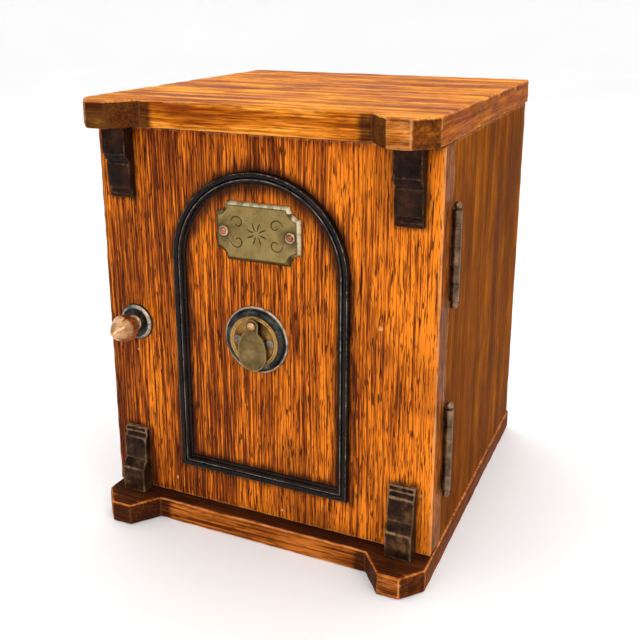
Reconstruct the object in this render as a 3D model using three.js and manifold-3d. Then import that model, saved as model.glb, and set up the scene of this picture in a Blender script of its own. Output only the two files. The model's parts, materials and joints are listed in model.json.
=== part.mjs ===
// Oak money box made in the form of a small safe: a cabinet of five boards, a full-front door on two
// butt hinges, a turning knob with a latch, a rim lock with a sliding bolt, and a drop over the keyhole.
// Millimetres. X to the right, -Y to the front, +Z up. The origin is the middle of the base's underside.

import * as THREE from 'three';
import { mergeVertices } from 'three/addons/utils/BufferGeometryUtils.js';
import Module from 'manifold-3d';

const wasm = await Module();
wasm.setup();

// ---------------------------------------------------------------- driving dimensions

// boards of the cabinet
const boardWidth = 216.6;
const boardDepth = 231.4;
const overallHeight = 270;
const topThickness = 16;
const baseThickness = 14.2;
const sideThickness = 12;
const backThickness = 8;
const backRebate = 6;
const sideOverhang = 0.8;
const backOverhang = 3.6;

// ears at the front corners of the top and base boards
const earReach = 15.8;
const earFacet = 13.5;
const earShoulder = 12.7;
const earChamferAcross = 11.4;
const earChamferBack = 13.3;

// door
const doorSetback = 24.8;
const doorThickness = 16;
const doorEndGap = 1;
const doorBackGap = 1.2;

// moulding that frames the panel of the door
const mouldingWidth = 7.2;
const mouldingHeight = 4.3;
const mouldingSideMargin = 51;
const mouldingCrownMargin = 20.5;
const mouldingFootMargin = 24;
const mitreGap = 0.1;
const archSegments = 72;

// corbels
const corbelWidth = 16;
const corbelHeight = 43;
const corbelReach = 9.6;
const corbelInset = 9.2;

// name plate
const plateWidth = 54;
const plateHeight = 35;
const plateThickness = 3;
const plateScallop = 6.8;
const plateArchClearance = 4;
const platePinSpacing = 42.4;
const platePinRadius = 3.1;
const platePinHeight = 2;
const platePinShank = 1.1;
const frontPinLength = 7;

// lock furniture on the front of the door
const lockOffsetX = -2.6;
const lockDrop = 2.5;
const bossRadius = 20.8;
const bossHeight = 3.2;
const bossFlange = 1.3;
const lockPlateRadius = 15.8;
const lockPlateHeight = 1.4;
const lockScrewSpacing = 21;
const lockScrewRadius = 2.5;
const lockScrewHead = 0.7;
const keyholeDrop = 4;
const keyholeRadius = 3.4;
const keyholeSlotWidth = 2.6;
const keyholeSlotLength = 9.5;

// drop that covers the keyhole
const coverPivotRise = 10.4;
const coverEyeRadius = 4.4;
const coverRadius = 9.3;
const coverLength = 28;
const coverThickness = 1.5;
const coverStandoff = 0.8;
const rivetRadius = 1.5;
const rivetHeadRadius = 2.6;

// rim lock inside the door
const lockCaseWidth = 50;
const lockCaseHeight = 46;
const lockCaseDepth = 10.5;
const lockCaseReachRight = 17;
const lockWall = 1.3;
const lockLug = 7;
const boltHeight = 9;
const boltThickness = 3.2;
const boltRise = 14;
const boltDepth = 5.6;
const boltThrow = 6;
const boltTailHeight = 16;
const talonWidth = 6;
const talonHeight = 4;
const keyPostRadius = 1.3;
const lugScrewInset = 5;
const guideLength = 8;
const guideMargin = 5;
const guideBridge = 2;
const guideFromHub = 9;

// knob and latch
const knobInset = 20.3;
const knobDrop = 4;
const roseRadius = 11.7;
const roseHeight = 2.5;
const knobReach = 25.6;
const knobRadius = 8.5;
const neckRadius = 4.2;
const spindleRadius = 3;
const camHubRadius = 5;
const camLength = 13;
const camWidth = 9;
const camThickness = 2.5;
const latchDepth = 10;
const camNutRadius = 4.6;
const camNutHeight = 2.6;

// hinges
const hingeLength = 51;
const hingeInset = 35.5;
const knuckleCount = 5;
const knuckleRadius = 2.6;
const hingePinRadius = 1.3;
const leafWidth = 11;
const leafThickness = 1.1;
const leafGap = 0.4;
const finialRadius = 2.2;
const leafScrewMargin = 9;

// screws, slots and strips
const screwHeadRadius = 2.8;
const screwShankRadius = 1.3;
const screwLength = 9;
const screwSlotWidth = 0.7;
const screwSlotDepth = 0.5;
const backScrewInset = 28;
const backScrewDepth = 1.4;
const keepThickness = 1;
const keepMargin = 9;
const keepScrewMargin = 4.5;
const keepBackMargin = 8;
const stopLength = 120;
const stopDepth = 8;
const stopHeight = 8;
const coinSlotLength = 36;
const coinSlotWidth = 6;
const coinSlotDrop = 30;

// clearances
const cutClearance = 0.3;
const headSink = 0.1;
const keyholeClearance = 0.4;
const mortiseEndClearance = 1.2;
const windowClearance = 1;
const boltClearance = 0.6;
const runningClearance = 0.2;
const overshoot = 1;

// ---------------------------------------------------------------- places that follow from them

const xBoard = boardWidth / 2;
const xCase = xBoard - sideOverhang;
const xInside = xCase - sideThickness;
const yEar = -boardDepth / 2;
const yBoardFront = yEar + earReach;
const yBoardBack = boardDepth / 2;
const yDoorFront = yEar + doorSetback;
const yDoorBack = yDoorFront + doorThickness;
const yCaseFront = yDoorBack + doorBackGap;
const yCaseBack = yBoardBack - backOverhang;
const yBackPanel = yCaseBack - backThickness;
const zFloor = baseThickness;
const zCeiling = overallHeight - topThickness;
const zDoorLow = zFloor + doorEndGap;
const zDoorHigh = zCeiling - doorEndGap;
const zDoorMiddle = (zDoorLow + zDoorHigh) / 2;

const archRadius = xCase - mouldingSideMargin;
const archInnerRadius = archRadius - mouldingWidth;
const zArchSpring = zDoorHigh - mouldingCrownMargin - archRadius;
const zMouldingFoot = zDoorLow + mouldingFootMargin;

const plateCornerReach = plateWidth / 2 + plateArchClearance;
const zPlateTop = zArchSpring + Math.sqrt(Math.max(archInnerRadius ** 2 - plateCornerReach ** 2, 0));
const zPlate = zPlateTop - plateHeight / 2;

const xLock = lockOffsetX;
const zLock = zDoorMiddle - lockDrop;
const zKeyhole = zLock - keyholeDrop;
const zCoverPivot = zLock + coverPivotRise;
const coverBack = bossHeight + lockPlateHeight + coverStandoff;
const coverFront = coverBack + coverThickness;

const xKnob = -(xCase - knobInset);
const zKnob = zDoorMiddle - knobDrop;
const yCam = yDoorBack + latchDepth;

const hingeAxisX = xCase + knuckleRadius + cutClearance;
const hingeAxisY = (yDoorBack + yCaseFront) / 2;
const zHingeLow = zDoorLow + hingeInset + hingeLength / 2;
const zHingeHigh = zDoorHigh - hingeInset - hingeLength / 2;

const xLockCaseRight = xLock + lockCaseReachRight;
const xLockCaseLeft = xLockCaseRight - lockCaseWidth;
const zLockCaseLow = zLock - lockCaseHeight / 2;
const zLockCaseHigh = zLock + lockCaseHeight / 2;
const yLockPlate = yDoorBack + lockWall;
const yLockCaseBack = yDoorBack + lockCaseDepth;
const zBolt = zLock + boltRise;
const yBolt = yDoorBack + boltDepth;
const xBoltTip = -xInside + keepThickness + cutClearance;
const xBoltGuide = xKnob + camHubRadius + guideFromHub;

// ---------------------------------------------------------------- looks

const oak = { color: 0xa8581c, roughness: 0.5, metalness: 0 };
const sideOak = { color: 0x8f5a1e, roughness: 0.5, metalness: 0 };
const plainOak = { color: 0xb07a42, roughness: 0.7, metalness: 0 };
const ebonised = { color: 0x1c1612, roughness: 0.35, metalness: 0 };
const brass = { color: 0x9a7b42, roughness: 0.4, metalness: 1 };
const darkBrass = { color: 0x4d4a42, roughness: 0.45, metalness: 1 };
const steel = { color: 0x6b6a68, roughness: 0.5, metalness: 1 };

// ---------------------------------------------------------------- geometry helpers

// A closed geometry with shared corners merged, flat triangles dropped and its faces pointing out.
function closed(geometry) {
  const bare = geometry.clone();
  bare.deleteAttribute('normal');
  bare.deleteAttribute('uv');
  const merged = mergeVertices(bare, 1e-4);
  const position = merged.attributes.position;
  const triangles = [];
  let volume = 0;
  const [a, b, c] = [new THREE.Vector3(), new THREE.Vector3(), new THREE.Vector3()];
  for (let i = 0; i < merged.index.count; i += 3) {
    const [p, q, r] = [0, 1, 2].map((k) => merged.index.getX(i + k));
    if (p === q || q === r || r === p) continue;
    a.fromBufferAttribute(position, p);
    b.fromBufferAttribute(position, q);
    c.fromBufferAttribute(position, r);
    volume += a.dot(b.clone().cross(c));
    triangles.push(p, q, r);
  }
  if (volume < 0) triangles.reverse();
  merged.setIndex(triangles);
  return merged;
}

function toSolid(geometry) {
  const clean = closed(geometry);
  return new wasm.Manifold(new wasm.Mesh({
    numProp: 3,
    vertProperties: new Float32Array(clean.attributes.position.array),
    triVerts: new Uint32Array(clean.index.array),
  }));
}

function toGeometry(solid) {
  const mesh = solid.getMesh();
  const geometry = new THREE.BufferGeometry();
  geometry.setAttribute('position', new THREE.BufferAttribute(new Float32Array(mesh.vertProperties), 3));
  geometry.setIndex(Array.from(mesh.triVerts));
  return geometry;
}

function cut(geometry, ...tools) {
  let solid = toSolid(geometry);
  for (const tool of tools) solid = solid.subtract(toSolid(tool));
  return toGeometry(solid);
}

function join(geometry, ...others) {
  let solid = toSolid(geometry);
  for (const other of others) solid = solid.add(toSolid(other));
  return toGeometry(solid);
}

// A box given by its two ends along each axis.
function block(x0, x1, y0, y1, z0, z1) {
  const box = new THREE.BoxGeometry(x1 - x0, y1 - y0, z1 - z0);
  return box.translate((x0 + x1) / 2, (y0 + y1) / 2, (z0 + z1) / 2);
}

// A turned piece on an axis that points to the front: profile points are [radius, height to the front].
function turned(profile, segments = 24) {
  const points = profile.map(([radius, height]) => new THREE.Vector2(radius, -height));
  return closed(new THREE.LatheGeometry(points, segments));
}

// A plain round rod along Y from y0 to y1.
function rodY(radius, y0, y1, x = 0, z = 0, segments = 16) {
  return turned([[0, -y1], [radius, -y1], [radius, -y0], [0, -y0]], segments).translate(x, 0, z);
}

// A plain round rod along Z from z0 to z1.
function rodZ(radius, z0, z1, x = 0, y = 0, segments = 16) {
  return rodY(radius, -z1, -z0, 0, 0, segments).rotateX(Math.PI / 2).translate(x, y, 0);
}

// A flat outline in X and Z, raised from y = 0 towards the front.
function raised(shape, height, curveSegments = 12) {
  const options = { depth: height, bevelEnabled: false, curveSegments };
  return closed(new THREE.ExtrudeGeometry(shape, options).rotateX(Math.PI / 2));
}

function polygon(points) {
  return new THREE.Shape(points.map(([x, y]) => new THREE.Vector2(x, y)));
}

const group = new THREE.Group();

function add(name, geometry, look, x = 0, y = 0, z = 0) {
  const mesh = new THREE.Mesh(closed(geometry), new THREE.MeshStandardMaterial(look));
  mesh.name = name;
  mesh.position.set(x, y, z);
  group.add(mesh);
}

// ---------------------------------------------------------------- screws

// Flat-headed wood screw with its head's face at the origin and its shank going to +Y.
function screw(headRadius = screwHeadRadius, headHeight = leafThickness, slotTurn = 0) {
  const point = headHeight + screwLength;
  const body = turned([
    [0, 0], [headRadius, 0], [headRadius, -headHeight], [screwShankRadius, -headHeight],
    [screwShankRadius, 2 - point], [0, -point],
  ], 16);
  const slot = block(-headRadius - overshoot, headRadius + overshoot, -overshoot, screwSlotDepth,
    -screwSlotWidth / 2, screwSlotWidth / 2).rotateY(slotTurn);
  return cut(body, slot);
}


// ---------------------------------------------------------------- cabinet boards

// Plan of the top and base boards: two chamfered ears stand ahead of the front edge.
function boardPlan() {
  const earInnerX = xBoard - earChamferAcross - earFacet;
  return polygon([
    [-xBoard, yBoardBack], [-xBoard, yEar + earChamferBack], [-xBoard + earChamferAcross, yEar],
    [-earInnerX, yEar], [-earInnerX + earShoulder, yBoardFront],
    [earInnerX - earShoulder, yBoardFront], [earInnerX, yEar],
    [xBoard - earChamferAcross, yEar], [xBoard, yEar + earChamferBack], [xBoard, yBoardBack],
  ]);
}

function board(thickness) {
  return new THREE.ExtrudeGeometry(boardPlan(), { depth: thickness, bevelEnabled: false });
}

add('base_board', board(baseThickness), oak);
add('top_board', board(topThickness), oak, 0, 0, zCeiling);

// Side boards, rebated at the back for the back panel and along the front edge for the hinge leaves.
function sideBoard(side) {
  const [near, far] = side > 0 ? [xInside, xCase] : [-xCase, -xInside];
  const blank = block(near, far, yCaseFront, yCaseBack, zFloor, zCeiling);
  const rebateReach = side * (xInside + backRebate);
  const inner = side * (xInside - overshoot);
  const rebate = block(Math.min(rebateReach, inner), Math.max(rebateReach, inner),
    yBackPanel, yCaseBack + overshoot, zFloor - overshoot, zCeiling + overshoot);
  const backHoles = backScrewHeights().map((z) =>
    rodY(screwShankRadius + cutClearance, yBackPanel - screwLength, yBackPanel + overshoot,
      side * backScrewX(), z, 12));
  return [blank, rebate, ...backHoles];
}

function backScrewX() {
  return xInside + backRebate / 2;
}

function backScrewHeights() {
  return [zFloor + backScrewInset, zCeiling - backScrewInset];
}

// ---------------------------------------------------------------- hinges

const leafOuterX = hingeAxisX - knuckleRadius - cutClearance;
const leafInnerX = leafOuterX - leafWidth;
const leafScrewX = (leafOuterX + leafInnerX) / 2;
const leafScrewOffset = hingeLength / 2 - leafScrewMargin;
const leafNear = leafGap / 2;
const leafFar = leafNear + leafThickness;

// One leaf with its share of the knuckles. side is -1 for the door's leaf and +1 for the cabinet's.
function hingeLeaf(side, firstKnuckle) {
  const half = hingeLength / 2;
  const [y0, y1] = side > 0 ? [leafNear, leafFar] : [-leafFar, -leafNear];
  const plate = block(leafInnerX - hingeAxisX, leafOuterX - hingeAxisX, y0, y1, -half, half);
  const pitch = hingeLength / knuckleCount;
  const pieces = [];
  for (let k = firstKnuckle; k < knuckleCount; k += 2) {
    const low = -half + k * pitch + (k > 0 ? runningClearance / 2 : 0);
    const high = -half + (k + 1) * pitch - (k < knuckleCount - 1 ? runningClearance / 2 : 0);
    pieces.push(block(leafOuterX - hingeAxisX - overshoot, 0, y0, y1, low, high));
    pieces.push(rodZ(knuckleRadius, low, high));
  }
  const bore = rodZ(hingePinRadius + runningClearance, -half - overshoot, half + overshoot);
  const holes = [-leafScrewOffset, leafScrewOffset].map((z) =>
    rodY(screwHeadRadius + cutClearance, -leafFar - overshoot, leafFar + overshoot,
      leafScrewX - hingeAxisX, z, 16));
  return cut(join(plate, ...pieces), bore, ...holes);
}

// The recess that a leaf lies in, for cutting, in the cabinet's own coordinates.
function leafRecess(side, zMiddle) {
  const bottom = hingeAxisY + side * leafFar;
  const mouth = hingeAxisY + side * -overshoot;
  return block(leafInnerX - cutClearance, xCase + overshoot, Math.min(bottom, mouth), Math.max(bottom, mouth),
    zMiddle - hingeLength / 2 - cutClearance, zMiddle + hingeLength / 2 + cutClearance);
}

function leafScrewHoles(side, zMiddle) {
  const seat = hingeAxisY + side * leafFar;
  const end = seat + side * (screwLength + cutClearance);
  return [-leafScrewOffset, leafScrewOffset].map((offset) =>
    rodY(screwShankRadius + cutClearance, Math.min(seat - side * overshoot, end),
      Math.max(seat - side * overshoot, end), leafScrewX, zMiddle + offset, 12));
}

// Pin along Z with a small ball at each end.
function hingePin() {
  const end = hingeLength / 2 + runningClearance;
  const ball = [1, 2, 3, 4].map((step) => {
    const angle = (step * Math.PI) / 5;
    return [finialRadius * Math.sin(angle), end + finialRadius * (1 + Math.cos(angle))];
  });
  const above = [[0, end + 2 * finialRadius], ...ball, [hingePinRadius, end]];
  const below = above.map(([radius, height]) => [radius, -height]).reverse();
  return turned([...above, ...below], 16).rotateX(-Math.PI / 2);
}

const hingeHeights = { lower: zHingeLow, upper: zHingeHigh };
for (const [place, z] of Object.entries(hingeHeights)) {
  add(`${place}_hinge_case_leaf`, hingeLeaf(1, 0), brass, hingeAxisX, hingeAxisY, z);
  add(`${place}_hinge_door_leaf`, hingeLeaf(-1, 1), brass, hingeAxisX, hingeAxisY, z);
  add(`${place}_hinge_pin`, hingePin(), brass, hingeAxisX, hingeAxisY, z);
  for (const [row, offset] of [['low', -leafScrewOffset], ['high', leafScrewOffset]]) {
    const headHeight = leafThickness - headSink;
    add(`${place}_hinge_case_screw_${row}`, screw(screwHeadRadius, headHeight, 0.5), brass,
      leafScrewX, hingeAxisY + leafFar - headHeight, z + offset);
    add(`${place}_hinge_door_screw_${row}`, screw(screwHeadRadius, headHeight, -0.4).rotateZ(Math.PI), brass,
      leafScrewX, hingeAxisY - leafFar + headHeight, z + offset);
  }
}

// ---------------------------------------------------------------- right side, left side, back, stop

const recesses = Object.values(hingeHeights).flatMap((z) => [leafRecess(1, z), ...leafScrewHoles(1, z)]);
add('right_side', cut(...sideBoard(1), ...recesses), sideOak);

// Windows in the left side for the latch's cam and the lock's bolt, behind a brass keep.
const camWindow = {
  y0: yCam - camThickness / 2 - windowClearance,
  y1: yCam + camThickness / 2 + windowClearance,
  z0: zKnob - camLength,
  z1: zKnob + camWidth / 2 + windowClearance,
};
const boltWindow = {
  y0: yBolt - boltThickness / 2 - boltClearance,
  y1: yBolt + boltThickness / 2 + boltClearance,
  z0: zBolt - boltHeight / 2 - boltClearance,
  z1: zBolt + boltHeight / 2 + boltClearance,
};
const keep = {
  y0: yCaseFront,
  y1: yCam + keepBackMargin,
  z0: camWindow.z0 - keepMargin,
  z1: boltWindow.z1 + keepMargin,
};
const keepScrewY = (keep.y0 + keep.y1) / 2;
const keepScrewZ = [keep.z0 + keepScrewMargin, keep.z1 - keepScrewMargin];

function window(opening, x0, x1) {
  return block(x0, x1, opening.y0, opening.y1, opening.z0, opening.z1);
}

const latchMortise = window(camWindow, xKnob - camLength - mortiseEndClearance, -xInside + overshoot);
const boltMortise = window(boltWindow, xBoltTip - boltThrow - mortiseEndClearance, -xInside + overshoot);
const keepRecess = block(-xInside - keepThickness, -xInside + overshoot, keep.y0 - overshoot,
  keep.y1 + cutClearance, keep.z0 - cutClearance, keep.z1 + cutClearance);
const keepScrewHoles = keepScrewZ.map((z) =>
  rodY(screwShankRadius + cutClearance, -overshoot, screwLength, 0, 0, 12)
    .rotateZ(Math.PI / 2).translate(-xInside - keepThickness, keepScrewY, z));
add('left_side', cut(...sideBoard(-1), latchMortise, boltMortise, keepRecess, ...keepScrewHoles), sideOak);

const keepPlate = block(-xInside - keepThickness, -xInside, keep.y0, keep.y1, keep.z0, keep.z1);
const keepHeadHoles = keepScrewZ.map((z) =>
  rodY(screwHeadRadius + cutClearance, -overshoot, keepThickness + overshoot, 0, 0, 16)
    .rotateZ(Math.PI / 2).translate(-xInside, keepScrewY, z));
const throughKeep = [camWindow, boltWindow].map((opening) =>
  window(opening, -xInside - keepThickness - overshoot, -xInside + overshoot));
add('strike_keep', cut(keepPlate, ...throughKeep, ...keepHeadHoles), brass);
for (const [index, place] of ['lower', 'upper'].entries()) {
  const headHeight = keepThickness - headSink;
  add(`${place}_strike_screw`, screw(screwHeadRadius, headHeight, 0.9).rotateZ(Math.PI / 2), brass,
    -xInside - keepThickness + headHeight, keepScrewY, keepScrewZ[index]);
}

const zCoinSlot = zCeiling - coinSlotDrop;
const backPanelX = xInside + backRebate - cutClearance;
const coinSlot = block(-coinSlotLength / 2, coinSlotLength / 2, yBackPanel - overshoot, yCaseBack + overshoot,
  zCoinSlot - coinSlotWidth / 2, zCoinSlot + coinSlotWidth / 2);
const backScrewPlaces = [-1, 1].flatMap((side) =>
  backScrewHeights().map((z, row) => ({
    name: `back_screw_${row ? 'upper' : 'lower'}_${side < 0 ? 'left' : 'right'}`,
    x: side * backScrewX(),
    z,
  })));
const backHoles = backScrewPlaces.flatMap(({ x, z }) => [
  rodY(screwShankRadius + cutClearance, yBackPanel - overshoot, yCaseBack, x, z, 12),
  rodY(screwHeadRadius + cutClearance, yCaseBack - backScrewDepth, yCaseBack + overshoot, x, z, 16),
]);
add('back_panel', cut(block(-backPanelX, backPanelX, yBackPanel, yCaseBack, zFloor, zCeiling),
  coinSlot, ...backHoles), plainOak);
for (const { name, x, z } of backScrewPlaces) {
  add(name, screw(screwHeadRadius, backScrewDepth - 2 * headSink, 0.7 + x / 90).rotateZ(Math.PI), steel,
    x, yCaseBack - 2 * headSink, z);
}

add('door_stop', block(-stopLength / 2, stopLength / 2, yDoorBack + cutClearance,
  yDoorBack + cutClearance + stopDepth, zCeiling - stopHeight, zCeiling), plainOak);

// ---------------------------------------------------------------- door board

const keyholeShape = (grow) => {
  const half = keyholeSlotWidth / 2 + grow;
  const radius = keyholeRadius + grow;
  const start = -Math.acos(half / radius);
  const shape = new THREE.Shape();
  shape.moveTo(half, -keyholeSlotLength - grow);
  shape.absarc(0, 0, radius, start, Math.PI - start, false);
  shape.lineTo(-half, -keyholeSlotLength - grow);
  shape.closePath();
  return shape;
};

function keyholeCutter(x, y0, y1, z, grow) {
  return raised(keyholeShape(grow), y1 - y0, 8).translate(x, y1, z);
}

const doorBlank = block(-xCase, xCase, yDoorFront, yDoorBack, zDoorLow, zDoorHigh);
const spindleHole = rodY(spindleRadius + cutClearance, yDoorFront - overshoot, yDoorBack + overshoot,
  xKnob, zKnob);
const doorKeyhole = keyholeCutter(xLock, yDoorFront - overshoot, yDoorBack + overshoot, zKeyhole,
  keyholeClearance);
const doorLeafCuts = Object.values(hingeHeights).flatMap((z) =>
  [leafRecess(-1, z), ...leafScrewHoles(-1, z)]);
const platePinHoles = [-1, 1].map((side) =>
  rodY(platePinShank + cutClearance, yDoorFront - overshoot, yDoorFront + frontPinLength + overshoot,
    (side * platePinSpacing) / 2, zPlate, 12));
const lockFrontScrewHoles = [-1, 1].map((side) =>
  rodY(screwShankRadius + cutClearance, yDoorFront - overshoot, yDoorFront + frontPinLength + overshoot,
    xLock + (side * lockScrewSpacing) / 2, zLock, 12));
const lugScrewZ = [zLockCaseLow - lockLug / 2, zLockCaseHigh + lockLug / 2];
const lugScrewX = [xLockCaseLeft + lugScrewInset, xLockCaseRight - lugScrewInset];
const lugPlaces = lugScrewZ.flatMap((z, row) => lugScrewX.map((x, column) => ({
  name: `lock_screw_${row ? 'upper' : 'lower'}_${column ? 'right' : 'left'}`, x, z,
})));
const lugHoles = lugPlaces.map(({ x, z }) =>
  rodY(screwShankRadius + cutClearance, yDoorBack - screwLength - overshoot, yDoorBack + overshoot,
    x, z, 12));
add('door_board', cut(doorBlank, spindleHole, doorKeyhole, ...doorLeafCuts, ...platePinHoles,
  ...lockFrontScrewHoles, ...lugHoles), oak);

// ---------------------------------------------------------------- moulding on the door

// Section of the moulding: distance inwards from its outer edge, and height above the door.
const mouldingSection = [
  [0, 0], [0, 0.62], [0.09, 0.9], [0.22, 1], [0.34, 0.88], [0.42, 0.7],
  [0.52, 0.74], [0.64, 0.84], [0.78, 0.76], [0.9, 0.45], [1, 0.3], [1, 0],
].map(([inward, height]) => [inward * mouldingWidth, height * mouldingHeight]);

function archMoulding() {
  const profile = mouldingSection.map(([inward, height]) => [archRadius - inward, height]);
  profile.push(profile[0]);
  const ring = turned(profile, archSegments);
  const reach = archRadius + overshoot;
  return cut(ring, block(-reach, reach, -mouldingHeight - overshoot, overshoot, -reach, 0));
}

// A straight length along Z, its outer edge at x = 0 and its inner edge towards +X.
function straightMoulding(length) {
  const shape = polygon(mouldingSection.map(([inward, height]) => [inward, -height]));
  return new THREE.ExtrudeGeometry(shape, { depth: length, bevelEnabled: false });
}

// A wedge through the whole height of the moulding, for cutting mitres, from its corners in X and Z.
function mitreWedge(corners) {
  const options = { depth: 4 * mouldingHeight, bevelEnabled: false };
  const wedge = new THREE.ExtrudeGeometry(polygon(corners), options);
  return closed(wedge.rotateX(Math.PI / 2).translate(0, 2 * mouldingHeight, 0));
}

// The two sides of a 45 degree mitre that starts at the outer corner x = 0, z = 0.
const wedgeSize = 4 * mouldingWidth;
const belowMitre = mitreWedge([[-wedgeSize, -wedgeSize], [wedgeSize, -wedgeSize], [wedgeSize, wedgeSize]])
  .translate(0, 0, mitreGap);
const aboveMitre = mitreWedge([[-wedgeSize, -wedgeSize], [wedgeSize, wedgeSize], [-wedgeSize, wedgeSize]])
  .translate(0, 0, -mitreGap);

const uprightLength = zArchSpring - mitreGap - zMouldingFoot;
const upright = cut(straightMoulding(uprightLength), belowMitre);

// The rail at the foot of the panel runs along X and is mitred at both ends.
function footRail() {
  const length = 2 * archRadius;
  const rail = straightMoulding(length).rotateY(-Math.PI / 2).translate(length, 0, 0);
  const mirrored = aboveMitre.clone().scale(-1, 1, 1).translate(length, 0, 0);
  return cut(rail, aboveMitre, mirrored);
}

add('arch_moulding', archMoulding(), ebonised, 0, yDoorFront, zArchSpring);
add('moulding_left', upright, ebonised, -archRadius, yDoorFront, zMouldingFoot);
add('moulding_right', upright.clone().scale(-1, 1, 1), ebonised, archRadius, yDoorFront, zMouldingFoot);
add('moulding_bottom', footRail(), ebonised, -archRadius, yDoorFront, zMouldingFoot);

// ---------------------------------------------------------------- corbels

// Side view of a corbel: reach from the door, and distance from its thick end.
const corbelOutline = [
  [0, 0], [1, 0], [1, 0.37], [0.9, 0.39], [0.72, 0.46], [0.6, 0.475], [0.6, 0.5], [0.66, 0.51],
  [0.64, 0.54], [0.58, 0.85], [0.38, 0.88], [0.38, 0.91], [0.46, 0.93], [0.44, 0.97], [0.3, 1], [0, 1],
].map(([reach, along]) => [reach * corbelReach, along * corbelHeight]);

function corbel(up) {
  const options = { depth: corbelWidth, bevelEnabled: false };
  const solid = new THREE.ExtrudeGeometry(polygon(corbelOutline), options);
  const turn = new THREE.Matrix4().makeBasis(
    new THREE.Vector3(0, -1, 0),
    new THREE.Vector3(0, 0, up),
    new THREE.Vector3(1, 0, 0),
  );
  return closed(solid.applyMatrix4(turn).translate(-corbelWidth / 2, 0, 0));
}

for (const side of [-1, 1]) {
  const x = side * (xCase - corbelInset - corbelWidth / 2);
  const hand = side < 0 ? 'left' : 'right';
  add(`corbel_lower_${hand}`, corbel(1), ebonised, x, yDoorFront, zDoorLow);
  add(`corbel_upper_${hand}`, corbel(-1), ebonised, x, yDoorFront, zDoorHigh);
}

// ---------------------------------------------------------------- name plate

function scallopedPlate(width, height, scallop) {
  const [x, z, r] = [width / 2, height / 2, scallop];
  const shape = new THREE.Shape();
  shape.moveTo(-x + r, -z);
  shape.lineTo(x - r, -z);
  shape.absarc(x, -z, r, Math.PI, Math.PI / 2, true);
  shape.lineTo(x, z - r);
  shape.absarc(x, z, r, -Math.PI / 2, -Math.PI, true);
  shape.lineTo(-x + r, z);
  shape.absarc(-x, z, r, 0, -Math.PI / 2, true);
  shape.lineTo(-x, -z + r);
  shape.absarc(-x, -z, r, Math.PI / 2, 0, true);
  return shape;
}

const platePinBores = [-1, 1].map((side) =>
  rodY(platePinShank + cutClearance, -plateThickness - overshoot, overshoot,
    (side * platePinSpacing) / 2, 0, 12));
add('name_plate', cut(raised(scallopedPlate(plateWidth, plateHeight, plateScallop), plateThickness, 8),
  ...platePinBores), brass, 0, yDoorFront, zPlate);
for (const side of [-1, 1]) {
  const pin = turned([
    [0, -frontPinLength], [platePinShank, -frontPinLength + 2], [platePinShank, plateThickness],
    [platePinRadius, plateThickness], [0.9 * platePinRadius, plateThickness + 0.45 * platePinHeight],
    [0.55 * platePinRadius, plateThickness + 0.87 * platePinHeight], [0, plateThickness + platePinHeight],
  ], 20);
  add(`name_plate_pin_${side < 0 ? 'left' : 'right'}`, pin, brass,
    (side * platePinSpacing) / 2, yDoorFront, zPlate);
}

// ---------------------------------------------------------------- lock boss, plate, screws and drop

const keyholeInFront = (grow) => keyholeCutter(0, -3 * bossHeight, overshoot, zKeyhole - zLock, grow);
const boss = turned([
  [0, 0], [bossRadius, 0], [bossRadius, bossFlange * 0.6], [bossRadius - 1, bossFlange],
  [bossRadius - 2.4, bossFlange], [bossRadius - 2.8, bossFlange + 0.7],
  [lockPlateRadius + 0.8, bossHeight], [0, bossHeight],
], 36);
const bossScrewHoles = [-1, 1].map((side) =>
  rodY(screwShankRadius + cutClearance, -bossHeight - overshoot, overshoot,
    (side * lockScrewSpacing) / 2, 0, 12));
const rivetBore = rodY(rivetRadius + cutClearance, -2 * bossHeight, overshoot, 0, coverPivotRise, 16);
add('lock_boss', cut(boss, keyholeInFront(keyholeClearance), rivetBore, ...bossScrewHoles), darkBrass,
  xLock, yDoorFront, zLock);

// The plate has a raised rim of two rings round a flat field.
const rim = lockPlateHeight;
const field = 0.7 * lockPlateHeight;
const lockPlate = turned([
  [0, 0], [lockPlateRadius, 0], [lockPlateRadius, 0.7 * rim], [lockPlateRadius - 0.4, rim],
  [lockPlateRadius - 1, rim], [lockPlateRadius - 1.3, 0.8 * rim], [lockPlateRadius - 1.6, rim],
  [lockPlateRadius - 2.1, rim], [lockPlateRadius - 2.4, field], [0, field],
], 36);
const lockPlateScrewHoles = [-1, 1].map((side) =>
  rodY(screwShankRadius + cutClearance, -2 * bossHeight, overshoot, (side * lockScrewSpacing) / 2, 0, 12));
add('lock_plate', cut(lockPlate, keyholeInFront(0), rivetBore, ...lockPlateScrewHoles), brass,
  xLock, yDoorFront - bossHeight, zLock);

const lockFace = bossHeight + field;
for (const side of [-1, 1]) {
  const piece = turned([
    [0, -frontPinLength], [screwShankRadius, -frontPinLength + 2], [screwShankRadius, lockFace],
    [lockScrewRadius, lockFace], [lockScrewRadius, lockFace + 0.7 * lockScrewHead],
    [0.8 * lockScrewRadius, lockFace + lockScrewHead], [0, lockFace + lockScrewHead],
  ], 20);
  const slot = block(-2 * lockScrewRadius, 2 * lockScrewRadius, -lockFace - 2 * lockScrewHead,
    -lockFace - 0.3 * lockScrewHead, -screwSlotWidth / 2, screwSlotWidth / 2)
    .rotateY(side < 0 ? -0.6 : 0.8);
  add(`lock_plate_screw_${side < 0 ? 'left' : 'right'}`, cut(piece, slot), steel,
    xLock + (side * lockScrewSpacing) / 2, yDoorFront, zLock);
}

// The rivet passes through the drop's eye into the boss.
const rivetHead = coverFront + runningClearance;
const rivet = turned([
  [0, 0.4], [rivetRadius, 0.4], [rivetRadius, rivetHead], [rivetHeadRadius, rivetHead],
  [0.85 * rivetHeadRadius, rivetHead + 0.5], [0, rivetHead + 0.9],
], 20);
add('cover_rivet', rivet, brass, xLock, yDoorFront, zCoverPivot);

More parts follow.
